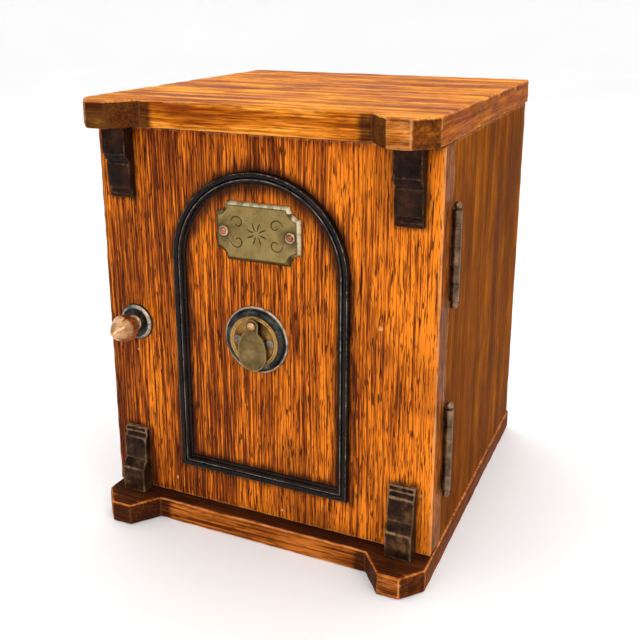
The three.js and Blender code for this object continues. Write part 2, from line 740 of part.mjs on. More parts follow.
// Drop: an eye round the rivet and a long disc below it, blended by the disc's shoulders.
function coverOutline() {
  const shape = new THREE.Shape();
  const centre = -(coverLength - coverRadius);
  shape.moveTo(coverEyeRadius, 0);
  shape.absarc(0, 0, coverEyeRadius, 0, Math.PI, false);
  shape.lineTo(-coverEyeRadius + 0.3, -4.2);
  shape.quadraticCurveTo(-coverRadius, -7.5, -coverRadius, centre + 2.2);
  shape.absarc(0, centre, coverRadius, Math.PI, 2 * Math.PI, false);
  shape.lineTo(coverRadius, centre + 2.2);
  shape.quadraticCurveTo(coverRadius, -7.5, coverEyeRadius - 0.3, -4.2);
  return shape;
}

const coverBore = rodY(rivetRadius + runningClearance, -coverFront - overshoot, overshoot, 0, 0, 20);
add('keyhole_cover', cut(raised(coverOutline(), coverThickness, 12).translate(0, -coverBack, 0), coverBore),
  brass, xLock, yDoorFront, zCoverPivot);

// ---------------------------------------------------------------- knob, rose, cam and nut

const rose = turned([
  [0, 0], [roseRadius, 0], [roseRadius, 0.5 * roseHeight], [roseRadius - 1.1, roseHeight],
  [neckRadius + 2, roseHeight], [0, roseHeight],
], 32);
add('knob_rose', cut(rose, rodY(spindleRadius + cutClearance, -2 * roseHeight, overshoot)), darkBrass,
  xKnob, yDoorFront, zKnob);

const knobBase = roseHeight + cutClearance;
const spindleEnd = doorThickness + latchDepth + camThickness / 2 + camNutHeight + 1.5;
const knob = turned([
  [0, -spindleEnd], [spindleRadius, -spindleEnd], [spindleRadius, knobBase], [neckRadius + 0.8, knobBase],
  [neckRadius, knobBase + 1.2], [neckRadius - 0.6, knobBase + 3.5], [neckRadius, knobBase + 5.4],
  [0.78 * knobRadius, knobBase + 6.6], [0.95 * knobRadius, knobBase + 8.6], [knobRadius, knobBase + 11],
  [0.97 * knobRadius, knobBase + 12.6], [0.9 * knobRadius, knobBase + 13.6],
  [0.72 * knobRadius, knobBase + 16.6],
  [0.42 * knobRadius, knobBase + 20.2], [0.18 * knobRadius, knobReach - 0.7], [0, knobReach],
], 24);
add('door_knob', knob, brass, xKnob, yDoorFront, zKnob);

const camBack = latchDepth + camThickness / 2;
const cam = join(
  rodY(camHubRadius, cutClearance, camBack),
  block(-camWidth / 2, camWidth / 2, camBack - camThickness, camBack, -camLength + camWidth / 2, 0),
  rodY(camWidth / 2, camBack - camThickness, camBack, 0, -camLength + camWidth / 2),
);
add('latch_cam', cut(cam, rodY(spindleRadius + cutClearance, -overshoot, camBack + overshoot)), brass,
  xKnob, yDoorBack, zKnob);
const nut = rodY(camNutRadius, camBack + cutClearance, camBack + cutClearance + camNutHeight, 0, 0, 6);
add('cam_nut', cut(nut, rodY(spindleRadius + cutClearance, 0, 3 * camBack)), brass, xKnob, yDoorBack, zKnob);

// ---------------------------------------------------------------- rim lock inside the door

// Back plate against the door, with lugs above and below for the screws.
const backPlate = block(xLockCaseLeft, xLockCaseRight, yDoorBack, yLockPlate,
  zLockCaseLow - lockLug, zLockCaseHigh + lockLug);
const backPlateHoles = lugPlaces.map(({ x, z }) =>
  rodY(screwHeadRadius + cutClearance, yDoorBack - overshoot, yLockPlate + overshoot, x, z, 16));
const backPlateKeyhole = keyholeCutter(xLock, yDoorBack - overshoot, yLockPlate + overshoot, zKeyhole, 0);
add('lock_backplate', cut(backPlate, backPlateKeyhole, ...backPlateHoles), steel);
for (const { name, x, z } of lugPlaces) {
  const headHeight = lockWall - headSink;
  add(name, screw(screwHeadRadius, headHeight, 0.3 + z / 70 + x / 50).rotateZ(Math.PI), steel,
    x, yDoorBack + headHeight, z);
}

// Open-fronted case on the plate; the bolt leaves it through a slot in the left wall.
const caseBlank = block(xLockCaseLeft, xLockCaseRight, yLockPlate, yLockCaseBack,
  zLockCaseLow, zLockCaseHigh);
const caseHollow = block(xLockCaseLeft + lockWall, xLockCaseRight - lockWall, yLockPlate - overshoot,
  yLockCaseBack - lockWall, zLockCaseLow + lockWall, zLockCaseHigh - lockWall);
const boltSlot = window(boltWindow, xLockCaseLeft - overshoot, xLockCaseLeft + lockWall + overshoot);
add('lock_case', cut(caseBlank, caseHollow, boltSlot), steel);

const keyPost = rodY(keyPostRadius, yLockPlate + cutClearance, yLockCaseBack - lockWall, xLock, zKeyhole, 16);
add('key_post', keyPost, steel);

// Sliding bolt: a bar to the left, and a tail with a talon that the key pushes.
const boltRight = xLockCaseRight - lockWall - cutClearance - 1;
const tailLeft = boltRight - 2 * boltTailHeight;
const bar = block(xBoltTip, boltRight, yBolt - boltThickness / 2, yBolt + boltThickness / 2,
  zBolt - boltHeight / 2, zBolt + boltHeight / 2);
const tailLow = zBolt + boltHeight / 2 - boltTailHeight;
const tail = block(Math.max(tailLeft, xLockCaseLeft + lockWall + boltThrow + overshoot), boltRight,
  yBolt - boltThickness / 2, yBolt + boltThickness / 2, tailLow, zBolt);
const talon = block(xLock - talonWidth / 2, xLock + talonWidth / 2, yBolt - boltThickness,
  yBolt + boltThickness, tailLow - overshoot, tailLow + talonHeight);
add('lock_bolt', cut(join(bar, tail), talon), steel);

// Staple that guides the bolt near the door's left edge.
const guideHalf = guideLength / 2;
const guideSpread = boltHeight / 2 + guideMargin;
const guide = block(xBoltGuide - guideHalf, xBoltGuide + guideHalf, yDoorBack,
  yBolt + boltThickness / 2 + guideBridge, zBolt - guideSpread, zBolt + guideSpread);
add('bolt_guide', cut(guide, window(boltWindow, xBoltGuide - guideHalf - overshoot,
  xBoltGuide + guideHalf + overshoot)), steel);

export default group;
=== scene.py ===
"""Looks of an oak money box in the form of a small safe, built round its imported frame.

Metres, in the frame's coordinates: X to the right, -Y to the front, +Z up.
"""

import json
import math

import bmesh
import bpy
import numpy as np
from mathutils import Matrix, Vector, noise

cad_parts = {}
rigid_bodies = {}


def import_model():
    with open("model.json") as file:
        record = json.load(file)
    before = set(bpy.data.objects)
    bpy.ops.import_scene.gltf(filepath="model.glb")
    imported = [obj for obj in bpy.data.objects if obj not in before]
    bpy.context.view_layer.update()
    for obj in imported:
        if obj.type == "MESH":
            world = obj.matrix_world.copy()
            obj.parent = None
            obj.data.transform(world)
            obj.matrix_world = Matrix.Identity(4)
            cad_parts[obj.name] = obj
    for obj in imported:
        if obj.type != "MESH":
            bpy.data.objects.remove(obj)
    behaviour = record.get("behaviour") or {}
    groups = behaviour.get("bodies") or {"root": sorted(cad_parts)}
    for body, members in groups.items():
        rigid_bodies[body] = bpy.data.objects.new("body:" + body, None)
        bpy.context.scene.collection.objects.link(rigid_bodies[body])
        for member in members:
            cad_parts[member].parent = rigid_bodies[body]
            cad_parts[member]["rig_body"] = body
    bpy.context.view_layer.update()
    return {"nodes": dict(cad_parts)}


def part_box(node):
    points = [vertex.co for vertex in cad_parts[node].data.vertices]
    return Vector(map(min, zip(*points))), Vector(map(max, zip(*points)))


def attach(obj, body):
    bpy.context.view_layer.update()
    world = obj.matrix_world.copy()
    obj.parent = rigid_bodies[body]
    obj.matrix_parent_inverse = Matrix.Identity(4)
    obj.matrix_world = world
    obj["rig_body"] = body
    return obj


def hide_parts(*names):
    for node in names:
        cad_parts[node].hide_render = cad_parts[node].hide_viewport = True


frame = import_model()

MM = 0.001
SCENE = bpy.context.scene

# ---------------------------------------------------------------- camera, floor and light

CAMERA_PLACE = Vector((0.2251, -0.5143, 0.3255))
CAMERA_TURN = 23.84
CAMERA_TILT = 15.52
CAMERA_LENS = 49.06
CAMERA_SHIFT = -0.125
SENSOR_WIDTH = 36
WORLD_STRENGTH = 1.1
LIGHT_AIM = Vector((0, 0, 0.13))
FLOOR_PROFILE = [[0, 0], [2.5, 0], [3.5, 0.05], [4.2, 0.3], [4.7, 0.8], [5.0, 1.6], [5.0, 4.0]]


def make_camera():
    data = bpy.data.cameras.new("camera")
    data.lens = CAMERA_LENS
    data.sensor_width = SENSOR_WIDTH
    data.shift_y = CAMERA_SHIFT
    camera = bpy.data.objects.new("camera", data)
    camera.location = CAMERA_PLACE
    camera.rotation_euler = (math.radians(90 - CAMERA_TILT), 0, math.radians(CAMERA_TURN))
    SCENE.collection.objects.link(camera)
    SCENE.camera = camera


def make_light(name, place, size, power):
    """A white rectangular light that looks at the middle of the object."""
    data = bpy.data.lights.new(name, "AREA")
    data.shape = "RECTANGLE"
    data.size, data.size_y = size
    data.energy = power
    light = bpy.data.objects.new(name, data)
    light.location = place
    light.rotation_euler = (LIGHT_AIM - Vector(place)).to_track_quat("-Z", "Y").to_euler()
    SCENE.collection.objects.link(light)


def turned_sheet(profile, segments):
    """An open sheet turned about Z from points [radius, height], the first of them on the axis."""
    points = [(0, 0, profile[0][1])]
    for radius, height in profile[1:]:
        for k in range(segments):
            angle = 2 * math.pi * k / segments
            points.append((radius * math.cos(angle), radius * math.sin(angle), height))
    faces = [(0, 1 + k, 1 + (k + 1) % segments) for k in range(segments)]
    for ring in range(len(profile) - 2):
        low, high = 1 + ring * segments, 1 + (ring + 1) * segments
        for k in range(segments):
            following = (k + 1) % segments
            faces.append((low + k, high + k, high + following, low + following))
    mesh = bpy.data.meshes.new("sheet")
    mesh.from_pydata(points, [], faces)
    return mesh


def make_stage():
    """A pale floor that sweeps up far from the object, an even pale world, and soft lights."""
    mesh = turned_sheet(FLOOR_PROFILE, 96)
    floor = bpy.data.objects.new("floor", mesh)
    SCENE.collection.objects.link(floor)
    mesh.materials.append(floor_material())
    mesh.shade_smooth()

    world = bpy.data.worlds.new("studio")
    world.use_nodes = True
    background = world.node_tree.nodes["Background"]
    background.inputs["Color"].default_value = (1, 1, 1, 1)
    background.inputs["Strength"].default_value = WORLD_STRENGTH
    SCENE.world = world
    SCENE.view_settings.view_transform = "Standard"

    make_light("light_above", (-0.1, 0.3, 1.1), (0.8, 0.8), 3)
    make_light("light_front", (0.25, -0.95, 0.7), (0.5, 0.6), 2.4)
    make_light("light_right", (0.62, -0.47, 0.83), (0.06, 0.25), 0.8)


# ---------------------------------------------------------------- node trees

def tone(red, green, blue):
    """A colour given in display values from 0 to 255, as linear values."""
    channels = []
    for value in (red, green, blue):
        share = value / 255
        channels.append(share / 12.92 if share <= 0.04045 else ((share + 0.055) / 1.055) ** 2.4)
    return (*channels, 1)


def tones(*colours):
    return tuple(tone(*colour) for colour in colours)


class Finish:
    """A material under construction, with short calls for the nodes that the finishes share."""

    def __init__(self, name, metallic=0.0, coat=0.0, ior=1.5, coat_roughness=0.22):
        self.material = bpy.data.materials.new(name)
        self.material.use_nodes = True
        self.tree = self.material.node_tree
        self.shader = self.tree.nodes["Principled BSDF"]
        self.shader.inputs["Metallic"].default_value = metallic
        self.shader.inputs["Coat Weight"].default_value = coat
        self.shader.inputs["Coat Roughness"].default_value = coat_roughness
        self.shader.inputs["IOR"].default_value = ior
        self.place = self.node("TexCoord").outputs["Object"]

    def node(self, kind, **settings):
        made = self.tree.nodes.new("ShaderNode" + kind)
        for key, value in settings.items():
            setattr(made, key, value)
        return made

    def put(self, socket, value):
        """Sets a socket: a link if the value is another socket, else a plain value."""
        if isinstance(value, bpy.types.NodeSocket):
            self.tree.links.new(value, socket)
        else:
            socket.default_value = value

    def math(self, operation, a, b=0.0, clamp=False):
        made = self.node("Math", operation=operation, use_clamp=clamp)
        self.put(made.inputs[0], a)
        self.put(made.inputs[1], b)
        return made.outputs[0]

    def plus(self, base, value, weight=1.0):
        """Adds a weighted value to another one."""
        return self.math("ADD", base, self.math("MULTIPLY", value, weight))

    def stretch(self, factors, place=None):
        """Coordinates, the object's own unless others are given, scaled along each axis."""
        made = self.node("VectorMath", operation="MULTIPLY")
        self.put(made.inputs[0], place or self.place)
        made.inputs[1].default_value = factors
        return made.outputs[0]

    def shift(self, place, amount):
        made = self.node("VectorMath", operation="ADD")
        self.put(made.inputs[0], place)
        self.put(made.inputs[1], amount)
        return made.outputs[0]

    def noise(self, factors, place=None, detail=2.0, roughness=0.5):
        """Noise with a scale factor along each axis."""
        made = self.node("TexNoise")
        self.put(made.inputs["Vector"], self.stretch(factors, place))
        made.inputs["Scale"].default_value = 1.0
        made.inputs["Detail"].default_value = detail
        made.inputs["Roughness"].default_value = roughness
        return made.outputs["Fac"]

    def noise_colour(self, place, scale):
        made = self.node("TexNoise")
        self.put(made.inputs["Vector"], place)
        made.inputs["Scale"].default_value = scale
        made.inputs["Detail"].default_value = 1.0
        return made.outputs["Color"]

    def range(self, value, low, high, to_low=0.0, to_high=1.0):
        """Maps low..high onto to_low..to_high with soft ends."""
        made = self.node("MapRange", interpolation_type="SMOOTHSTEP")
        self.put(made.inputs["Value"], value)
        made.inputs["From Min"].default_value = low
        made.inputs["From Max"].default_value = high
        made.inputs["To Min"].default_value = to_low
        made.inputs["To Max"].default_value = to_high
        return made.outputs["Result"]

    def ramp(self, value, stops):
        made = self.node("ValToRGB")
        self.put(made.inputs["Fac"], value)
        elements = made.color_ramp.elements
        while len(elements) < len(stops):
            elements.new(0.5)
        for element, (position, colour) in zip(elements, stops):
            element.position = position
            element.color = colour
        return made.outputs["Color"]

    def mix(self, factor, a, b, blend="MIX"):
        made = self.node("Mix", data_type="RGBA", blend_type=blend)
        self.put(made.inputs["Factor"], factor)
        self.put(made.inputs[6], a)
        self.put(made.inputs[7], b)
        return made.outputs[2]

    def attribute(self, name):
        return self.node("Attribute", attribute_name=name).outputs["Fac"]

    def bump(self, height, distance, strength=1.0, below=None):
        made = self.node("Bump")
        made.inputs["Distance"].default_value = distance
        made.inputs["Strength"].default_value = strength
        self.put(made.inputs["Height"], height)
        if below is not None:
            self.put(made.inputs["Normal"], below)
        return made.outputs["Normal"]

    def done(self, colour, roughness, normal):
        self.put(self.shader.inputs["Base Color"], colour)
        self.put(self.shader.inputs["Roughness"], roughness)
        self.put(self.shader.inputs["Normal"], normal)
        return self.material


# ---------------------------------------------------------------- finishes

def floor_material():
    finish = Finish("floor_paper")
    cloud = finish.noise((3, 3, 3), detail=3)
    colour = finish.ramp(cloud, [(0.3, (0.95, 0.95, 0.95, 1)), (0.7, (0.97, 0.97, 0.97, 1))])
    grain = finish.noise((900, 900, 900))
    return finish.done(colour, 0.8, finish.bump(grain, 0.0001, 0.2))


def along(axis, across, lengthwise):
    """Scale factors, in cycles per metre, for a pattern that is drawn out along the grain's axis."""
    return tuple(lengthwise if k == axis else across for k in range(3))


def with_chips(finish, rub_and_highlight, chips):
    """Adds small ragged chips, given as centres and radii, to a mask of worn places and painted highlights.
    """
    drift = finish.shift(finish.noise_colour(finish.place, 900.0), (-0.5, -0.5, -0.5))
    ragged = finish.shift(finish.place, finish.stretch((0.002, 0.002, 0.002), drift))
    for spot, size in chips:
        away = finish.node("VectorMath", operation="DISTANCE")
        finish.put(away.inputs[0], ragged)
        away.inputs[1].default_value = spot
        chip = finish.range(away.outputs["Value"], 0.7 * size, size, 1.3, 0)
        rub_and_highlight = finish.math("MAXIMUM", rub_and_highlight, chip)
    return rub_and_highlight


def oak(name, axis, palette, worn_and_lit, streak=1.0, pores=1.0, blotch=0.2, gloss=0.4, coat=0.04, ior=1.16,
        fineness=1.0, rubbed_and_lit=0.6, chips=()):
    """Stained and polished oak: growth bands, streaks, broken dark pores, blotches, worn edges, painted
    light and shade.

    The palette runs from the pores to the lightest wood. Streak, pores and blotch are strengths, fineness
    is how narrow the streaks are, and rubbed_and_lit is how far worn places and painted highlights go
    towards the worn_and_lit tone.
    """
    deep, dark, middle, light = palette
    finish = Finish(name, coat=coat, ior=ior)
    drift = finish.noise_colour(finish.stretch(along(axis, 22, 5)), 1.0)
    spread = finish.stretch((0.005, 0.005, 0.005), drift)
    place = finish.shift(finish.place, spread)
    bands = finish.noise(along(axis, 95, 3.5), place, detail=2)
    streaks = finish.noise(along(axis, 620 * fineness, 13), place, detail=1)
    fibres = finish.noise(along(axis, 1300 * fineness, 48), place, detail=1)
    patches = finish.noise(along(axis, 38, 16), detail=3, roughness=0.6)

    figure = finish.plus(0.5 - 0.44 * streak - blotch, streaks, 0.46 * streak)
    figure = finish.plus(figure, fibres, 0.42 * streak)
    figure = finish.plus(figure, bands, blotch)
    figure = finish.plus(figure, patches, blotch)
    # Painted light: the door grows lighter to the right and darker to the left, from the
    # painted_light_gradient attribute.
    figure = finish.plus(figure, finish.attribute("painted_light_gradient"), 0.05)
    colour = finish.ramp(figure, [(0.41, dark), (0.5, middle), (0.59, light)])
    murk = finish.noise(along(axis, 30, 18), detail=3, roughness=0.6)
    murk = finish.range(murk, 0.5, 0.68, 0, blotch * 2)
    colour = finish.mix(murk, colour, dark)

    ticks = finish.noise(along(axis, 850 * fineness, 115), place, detail=1, roughness=0.6)
    ticks = finish.range(ticks, 0.56, 0.65)
    colour = finish.mix(finish.math("MULTIPLY", ticks, 0.85 * pores), colour, deep)

    end = finish.attribute("end")
    rings = finish.noise((60, 22, 420), detail=3, roughness=0.65)
    colour = finish.mix(end, colour, finish.ramp(rings, [(0.3, deep), (0.48, dark), (0.75, middle)]))

    # Worn edges and painted highlights, where the wear_and_highlight attribute is set, go towards the
    # worn_and_lit tone.
    rub_and_highlight = finish.noise(along(axis, 260, 70), detail=4, roughness=0.75)
    rub_and_highlight = finish.range(finish.plus(finish.attribute("wear_and_highlight"), rub_and_highlight, 1.6), 1.45, 1.95)
    if chips:
        rub_and_highlight = with_chips(finish, rub_and_highlight, chips)
    colour = finish.mix(finish.math("MULTIPLY", rub_and_highlight, rubbed_and_lit, clamp=True), colour, worn_and_lit)

    # Painted shade, with some stain, where the stain_and_shade attribute is set: a dark red-brown with
    # ragged edges.
    creep = finish.noise(along(axis, 260, 60), detail=3, roughness=0.6)
    creep = finish.math("SUBTRACT", creep, 0.5)
    shade = finish.range(finish.plus(finish.attribute("stain_and_shade"), creep, 0.9), 0.15, 0.85)
    colour = finish.mix(finish.math("MULTIPLY", shade, 0.88), colour, tone(46, 21, 13))

    roughness = finish.range(patches, 0.3, 0.7, gloss - 0.05, gloss + 0.1)
    roughness = finish.plus(roughness, ticks, 0.2)
    roughness = finish.plus(roughness, rub_and_highlight, 0.15)
    relief = finish.math("SUBTRACT", finish.math("MULTIPLY", streaks, 0.5), ticks)
    normal = finish.bump(relief, 0.00012, 0.5)
    swell = finish.noise(along(axis, 60, 14), detail=1)
    return finish.done(colour, roughness, finish.bump(swell, 0.0004, 0.35, normal))


def ebonised(name, palette, worn_and_lit, rise=0.0, coat=0.02, relief=0.0002):
    """Black stained wood with a thin polish, lighter where its edges have rubbed and where highlights are
    painted.

    Rise is wear that is the same all over, and relief is the height of the grain in metres.
    """
    deep, middle, high = palette
    finish = Finish(name, coat=coat, ior=1.12, coat_roughness=0.1)
    grain = finish.noise((420, 420, 40), detail=2)
    mottle = finish.noise((70, 70, 70), detail=4, roughness=0.65)
    colour = finish.ramp(mottle, [(0.35, deep), (0.52, middle), (0.68, high)])
    colour = finish.mix(finish.range(grain, 0.55, 0.7, 0, 0.5), colour, tone(14, 9, 7))
    # Worn edges and painted highlight lines, where the wear_and_highlight attribute is set, go towards the
    # worn_and_lit tone.
    wear_and_highlight = finish.math("ADD", finish.attribute("wear_and_highlight"), rise)
    rub_and_highlight = finish.noise((420, 420, 300), detail=4, roughness=0.75)
    rub_and_highlight = finish.range(finish.plus(wear_and_highlight, rub_and_highlight, 1.7), 1.6, 2.3)
    patches = finish.noise((75, 75, 75), detail=2)
    rub_and_highlight = finish.math("MULTIPLY", rub_and_highlight, finish.range(patches, 0.35, 0.6, 0.15, 0.75))
    colour = finish.mix(rub_and_highlight, colour, worn_and_lit)
    roughness = finish.plus(finish.range(mottle, 0.3, 0.7, 0.24, 0.4), rub_and_highlight, 0.2)
    heights = finish.plus(finish.math("MULTIPLY", mottle, 0.6), grain, 0.5)
    return finish.done(colour, roughness, finish.bump(heights, relief, 0.4))


def metal(name, palette, gloss, tarnish, spots=0.3, rubbed_and_lit=None):
    """Old cast or rolled metal: three tones in clouds, dark tarnish in spots, fine scratches.

    Worn edges and painted highlights turn to the rubbed_and_lit tone, or to the lightest of the three where
    none is given.
    """
    low, middle, high = palette
    finish = Finish(name, metallic=1.0)
    cloud = finish.noise((120, 120, 120), detail=4, roughness=0.62)
    colour = finish.ramp(cloud, [(0.34, low), (0.52, middle), (0.75, high)])
    speckle = finish.noise((900, 900, 900), detail=3, roughness=0.7)
    dirt = finish.range(speckle, 0.56, 0.7)
    colour = finish.mix(finish.math("MULTIPLY", dirt, spots), colour, tarnish)
    # Darker where stain_and_shade is set: engraved lines, pin dishes, a line in the plate's rim, tarnish at
    # the knob's neck, and painted shade on the plate's lower bevels.
    darkening = finish.attribute("stain_and_shade")
    colour = finish.mix(finish.math("MULTIPLY", darkening, 0.92), colour, tone(22, 18, 12))
    # Worn edges and painted highlights, where wear_and_highlight is set, turn to the rubbed_and_lit tone.
    rub_and_highlight = finish.range(finish.plus(finish.attribute("wear_and_highlight"), speckle, 0.7), 0.8, 1.25)
    patches = finish.noise((210, 210, 210), detail=3, roughness=0.6)
    rub_and_highlight = finish.math("MULTIPLY", rub_and_highlight, finish.range(patches, 0.38, 0.54, 0.3, 1))
    colour = finish.mix(finish.math("MULTIPLY", rub_and_highlight, 0.8), colour, rubbed_and_lit or high)
    scratches = finish.noise((300, 300, 300), detail=3, roughness=0.75)
    roughness = finish.range(cloud, 0.3, 0.7, gloss - 0.06, gloss + 0.1)
    roughness = finish.plus(roughness, dirt, 0.25)
    heights = finish.plus(finish.math("MULTIPLY", scratches, 0.5), speckle, -0.4)
    return finish.done(colour, roughness, finish.bump(heights, 0.0001, 0.4))


def door_chips():
    """Centres and radii of the small chips in the front of the door."""
    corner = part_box("door_board")[0]
    chips = [(45, 11, 1.2), (208, 38, 1.3), (182, 135, 1.6), (20, 96, 0.9), (120, 6, 1.0), (196, 202, 0.8)]
    return [((corner.x + x * MM, corner.y, corner.z + z * MM), size * MM) for x, z, size in chips]


def make_finishes():
    door_tones = tones((40, 18, 9), (88, 37, 13), (160, 75, 16), (238, 130, 30))
    board_tones = tones((64, 27, 8), (128, 58, 12), (202, 112, 26), (244, 164, 62))
    base_tones = tones((44, 19, 8), (92, 40, 12), (150, 76, 22), (196, 112, 42))
    side_tones = tones((52, 26, 5), (90, 43, 8), (124, 64, 11), (168, 94, 18))
    plain_tones = tones((66, 40, 20), (112, 72, 38), (146, 98, 54), (170, 122, 74))
    aged = tones((128, 108, 64), (146, 124, 76), (162, 140, 92))
    golden = tones((84, 54, 24), (134, 96, 48), (188, 150, 90))
    brown = tones((70, 54, 42), (110, 88, 68), (158, 130, 102))
    copper = tones((160, 114, 74), (224, 174, 126), (250, 220, 180))
    rosy = tones((118, 72, 48), (172, 114, 80), (214, 168, 136))
    green = tones((84, 70, 42), (112, 92, 56), (150, 126, 84))
    patina = tones((28, 29, 30), (62, 62, 58), (140, 140, 128))
    steel = tones((90, 80, 72), (126, 112, 100), (174, 156, 140))
    worn_and_lit_oak = tone(222, 156, 96)
    black = tones((18, 10, 7), (38, 22, 14), (66, 38, 22))
    jet = tones((12, 8, 7), (20, 13, 10), (34, 22, 16))
    umber = tones((22, 13, 8), (46, 29, 17), (98, 66, 40))
    return {
        "door": oak("door_oak", 2, door_tones, worn_and_lit_oak, coat=0.02, ior=1.1, fineness=1.6,
                    chips=door_chips()),
        # The worn tones of the top and base boards also paint highlights on facets of their ears.
        "board": oak("board_oak", 0, board_tones, worn_and_lit_oak, streak=0.62, pores=0.5, blotch=0.34, gloss=0.42,
                     coat=0.0, ior=1.06, fineness=1.25),
        "base": oak("base_oak", 0, base_tones, tone(236, 148, 82), streak=0.8, pores=0.6, blotch=0.3,
                    gloss=0.42, coat=0.0, ior=1.06, rubbed_and_lit=0.8),
        "side": oak("side_oak", 2, side_tones, worn_and_lit_oak, streak=0.4, pores=0.2, blotch=0.25, gloss=0.5,
                    coat=0.0, ior=1.03, rubbed_and_lit=0.3),
        "plain": oak("plain_oak", 2, plain_tones, tone(176, 136, 96), streak=0.7, pores=0.5, gloss=0.6,
                     coat=0.0),
        "ebony": ebonised("ebonised_wood", black, tone(120, 88, 62), 0.05),
        # On the moulding the worn tone mostly paints highlight lines on the beads.
        "ebony_polished": ebonised("ebonised_wood_polished", jet, tone(172, 154, 136), 0.38, coat=0.2,
                                   relief=0.00004),
        "ebony_worn": ebonised("ebonised_wood_worn", umber, tone(158, 122, 90), 0.3),
        # The plate's rubbed tone also paints highlights on its upper bevels.
        "plate": metal("plate_brass", aged, 0.42, tone(70, 60, 36), spots=0.35, rubbed_and_lit=tone(240, 226, 188)),
        "lock": metal("lock_brass", golden, 0.34, tone(84, 50, 22), spots=0.5),
        "cover": metal("cover_brass", green, 0.4, tone(52, 50, 38), spots=0.4),
        "hinge": metal("hinge_brass", brown, 0.36, tone(60, 42, 28), spots=0.45),
        "copper": metal("knob_brass", copper, 0.28, tone(96, 58, 30), spots=0.2),
        "pin": metal("pin_brass", rosy, 0.3, tone(110, 70, 46), spots=0.3, rubbed_and_lit=tone(236, 230, 210)),
        # The boss's rubbed tone also paints a highlight on its upper right.
        "patina": metal("dark_brass", patina, 0.4, tone(30, 30, 32), spots=0.5, rubbed_and_lit=tone(206, 184, 162)),
        "steel": metal("steel", steel, 0.42, tone(60, 50, 44), spots=0.3),
    }


# ---------------------------------------------------------------- pieces and meshes

NODES = frame["nodes"]
BODY_OF = {node: NODES[node]["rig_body"] for node in NODES}
CORBELS = [node for node in NODES if node.startswith("corbel")]


def centre_of(node):
    low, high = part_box(node)
    return (low + high) / 2


def show(node, mesh, finish, smooth=35):
    """Shows a mesh in place of a CAD node: it rides on the node's body, and the node is hidden."""
    piece = bpy.data.objects.new(node + "_look", mesh)
    SCENE.collection.objects.link(piece)
    mesh.materials.clear()
    mesh.materials.append(FINISHES[finish])
    mesh.shade_smooth()
    mesh.set_sharp_from_angle(angle=math.radians(smooth))
    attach(piece, BODY_OF[node])
    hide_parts(node)


def refinish(node, finish):
    """Keeps a CAD node's own shape and gives it a finish."""
    materials = NODES[node].data.materials
    materials.clear()
    materials.append(FINISHES[finish])


def solid_of(node):
    """A bmesh copy of a CAD node, with its flat faces joined up again."""
    work = bmesh.new()
    work.from_mesh(NODES[node].data)
    bmesh.ops.remove_doubles(work, verts=work.verts, dist=0.005 * MM)
    bmesh.ops.dissolve_limit(work, angle_limit=math.radians(1), verts=work.verts, edges=work.edges)
    return work


def to_mesh(work, name):
    bmesh.ops.recalc_face_normals(work, faces=work.faces)
    mesh = bpy.data.meshes.new(name)
    work.to_mesh(mesh)
    work.free()
    return mesh


def crests(work, angle=40):
    """The convex edges that are sharper than an angle."""
    least = math.radians(angle)
    inner = [e for e in work.edges if len(e.link_faces) == 2 and e.is_convex]
    return [e for e in inner if e.calc_face_angle(0) > least]


def outer_edges(work, edges):
    """Those edges that lie along an edge of the whole piece's box."""
    places = np.array([v.co for v in work.verts])
    low, high = places.min(0), places.max(0)
    near = 0.02 * MM

    def sides(point):
        return {(k, 0) for k in range(3) if abs(point[k] - low[k]) < near} | {
            (k, 1) for k in range(3) if abs(point[k] - high[k]) < near}

    return [e for e in edges if len(sides(e.verts[0].co) & sides(e.verts[1].co)) >= 2]


def round_off(work, edges, width, segments=3):
    bmesh.ops.bevel(work, geom=edges, offset=width, offset_type="OFFSET", segments=segments,
                    profile=0.5, affect="EDGES", clamp_overlap=True)


def slice_up(work, step, bands):
    """Cuts the faces into a grid no coarser than step, with extra cuts at some distances from the ends."""
    places = np.array([v.co for v in work.verts])
    low, high = places.min(0), places.max(0)
    for axis in range(3):
        span = high[axis] - low[axis]
        count = max(1, math.ceil(span / step))
        cuts = {round(low[axis] + span * k / count, 7) for k in range(1, count)}
        for band in bands:
            if 2.2 * band < span:
                cuts |= {round(low[axis] + band, 7), round(high[axis] - band, 7)}
        normal = Vector([float(k == axis) for k in range(3)])
        for cut in sorted(cuts):
            parts = work.verts[:] + work.edges[:] + work.faces[:]
            bmesh.ops.bisect_plane(work, geom=parts, dist=1e-7, plane_co=normal * cut, plane_no=normal)


def segment_distances(points, segments):
    """Each point's distance to the nearest of some segments."""
    nearest = np.full(len(points), np.inf)
    for start, end in segments:
        line = end - start
        share = np.clip((points - start) @ line / (line @ line), 0, 1)
        away = np.linalg.norm(points - start - share[:, None] * line, axis=1)
        nearest = np.minimum(nearest, away)
    return nearest


def points_of(mesh):
    values = np.empty(len(mesh.vertices) * 3)
    mesh.vertices.foreach_get("co", values)
    return values.reshape(-1, 3)


def give(mesh, name, values):
    """Stores a number for each vertex."""
    layer = mesh.attributes.get(name) or mesh.attributes.new(name, "FLOAT", "POINT")
    layer.data.foreach_set("value", np.asarray(values, np.float32))


def dent(mesh, wear_and_highlight, depth, size, seed):
    """Presses the worn edges in a little, here and there."""
    normals = np.empty(len(mesh.vertices) * 3)
    mesh.vertices.foreach_get("normal", normals)
    points = points_of(mesh)
    offset = Vector((seed, 2.3 * seed, -seed))
    rise = np.array([noise.noise(Vector(p) / size + offset) for p in points])
    press = depth * wear_and_highlight * np.clip(rise + 0.25, 0, 1)
    moved = points - normals.reshape(-1, 3) * press[:, None]
    mesh.vertices.foreach_set("co", moved.ravel())
    mesh.update()


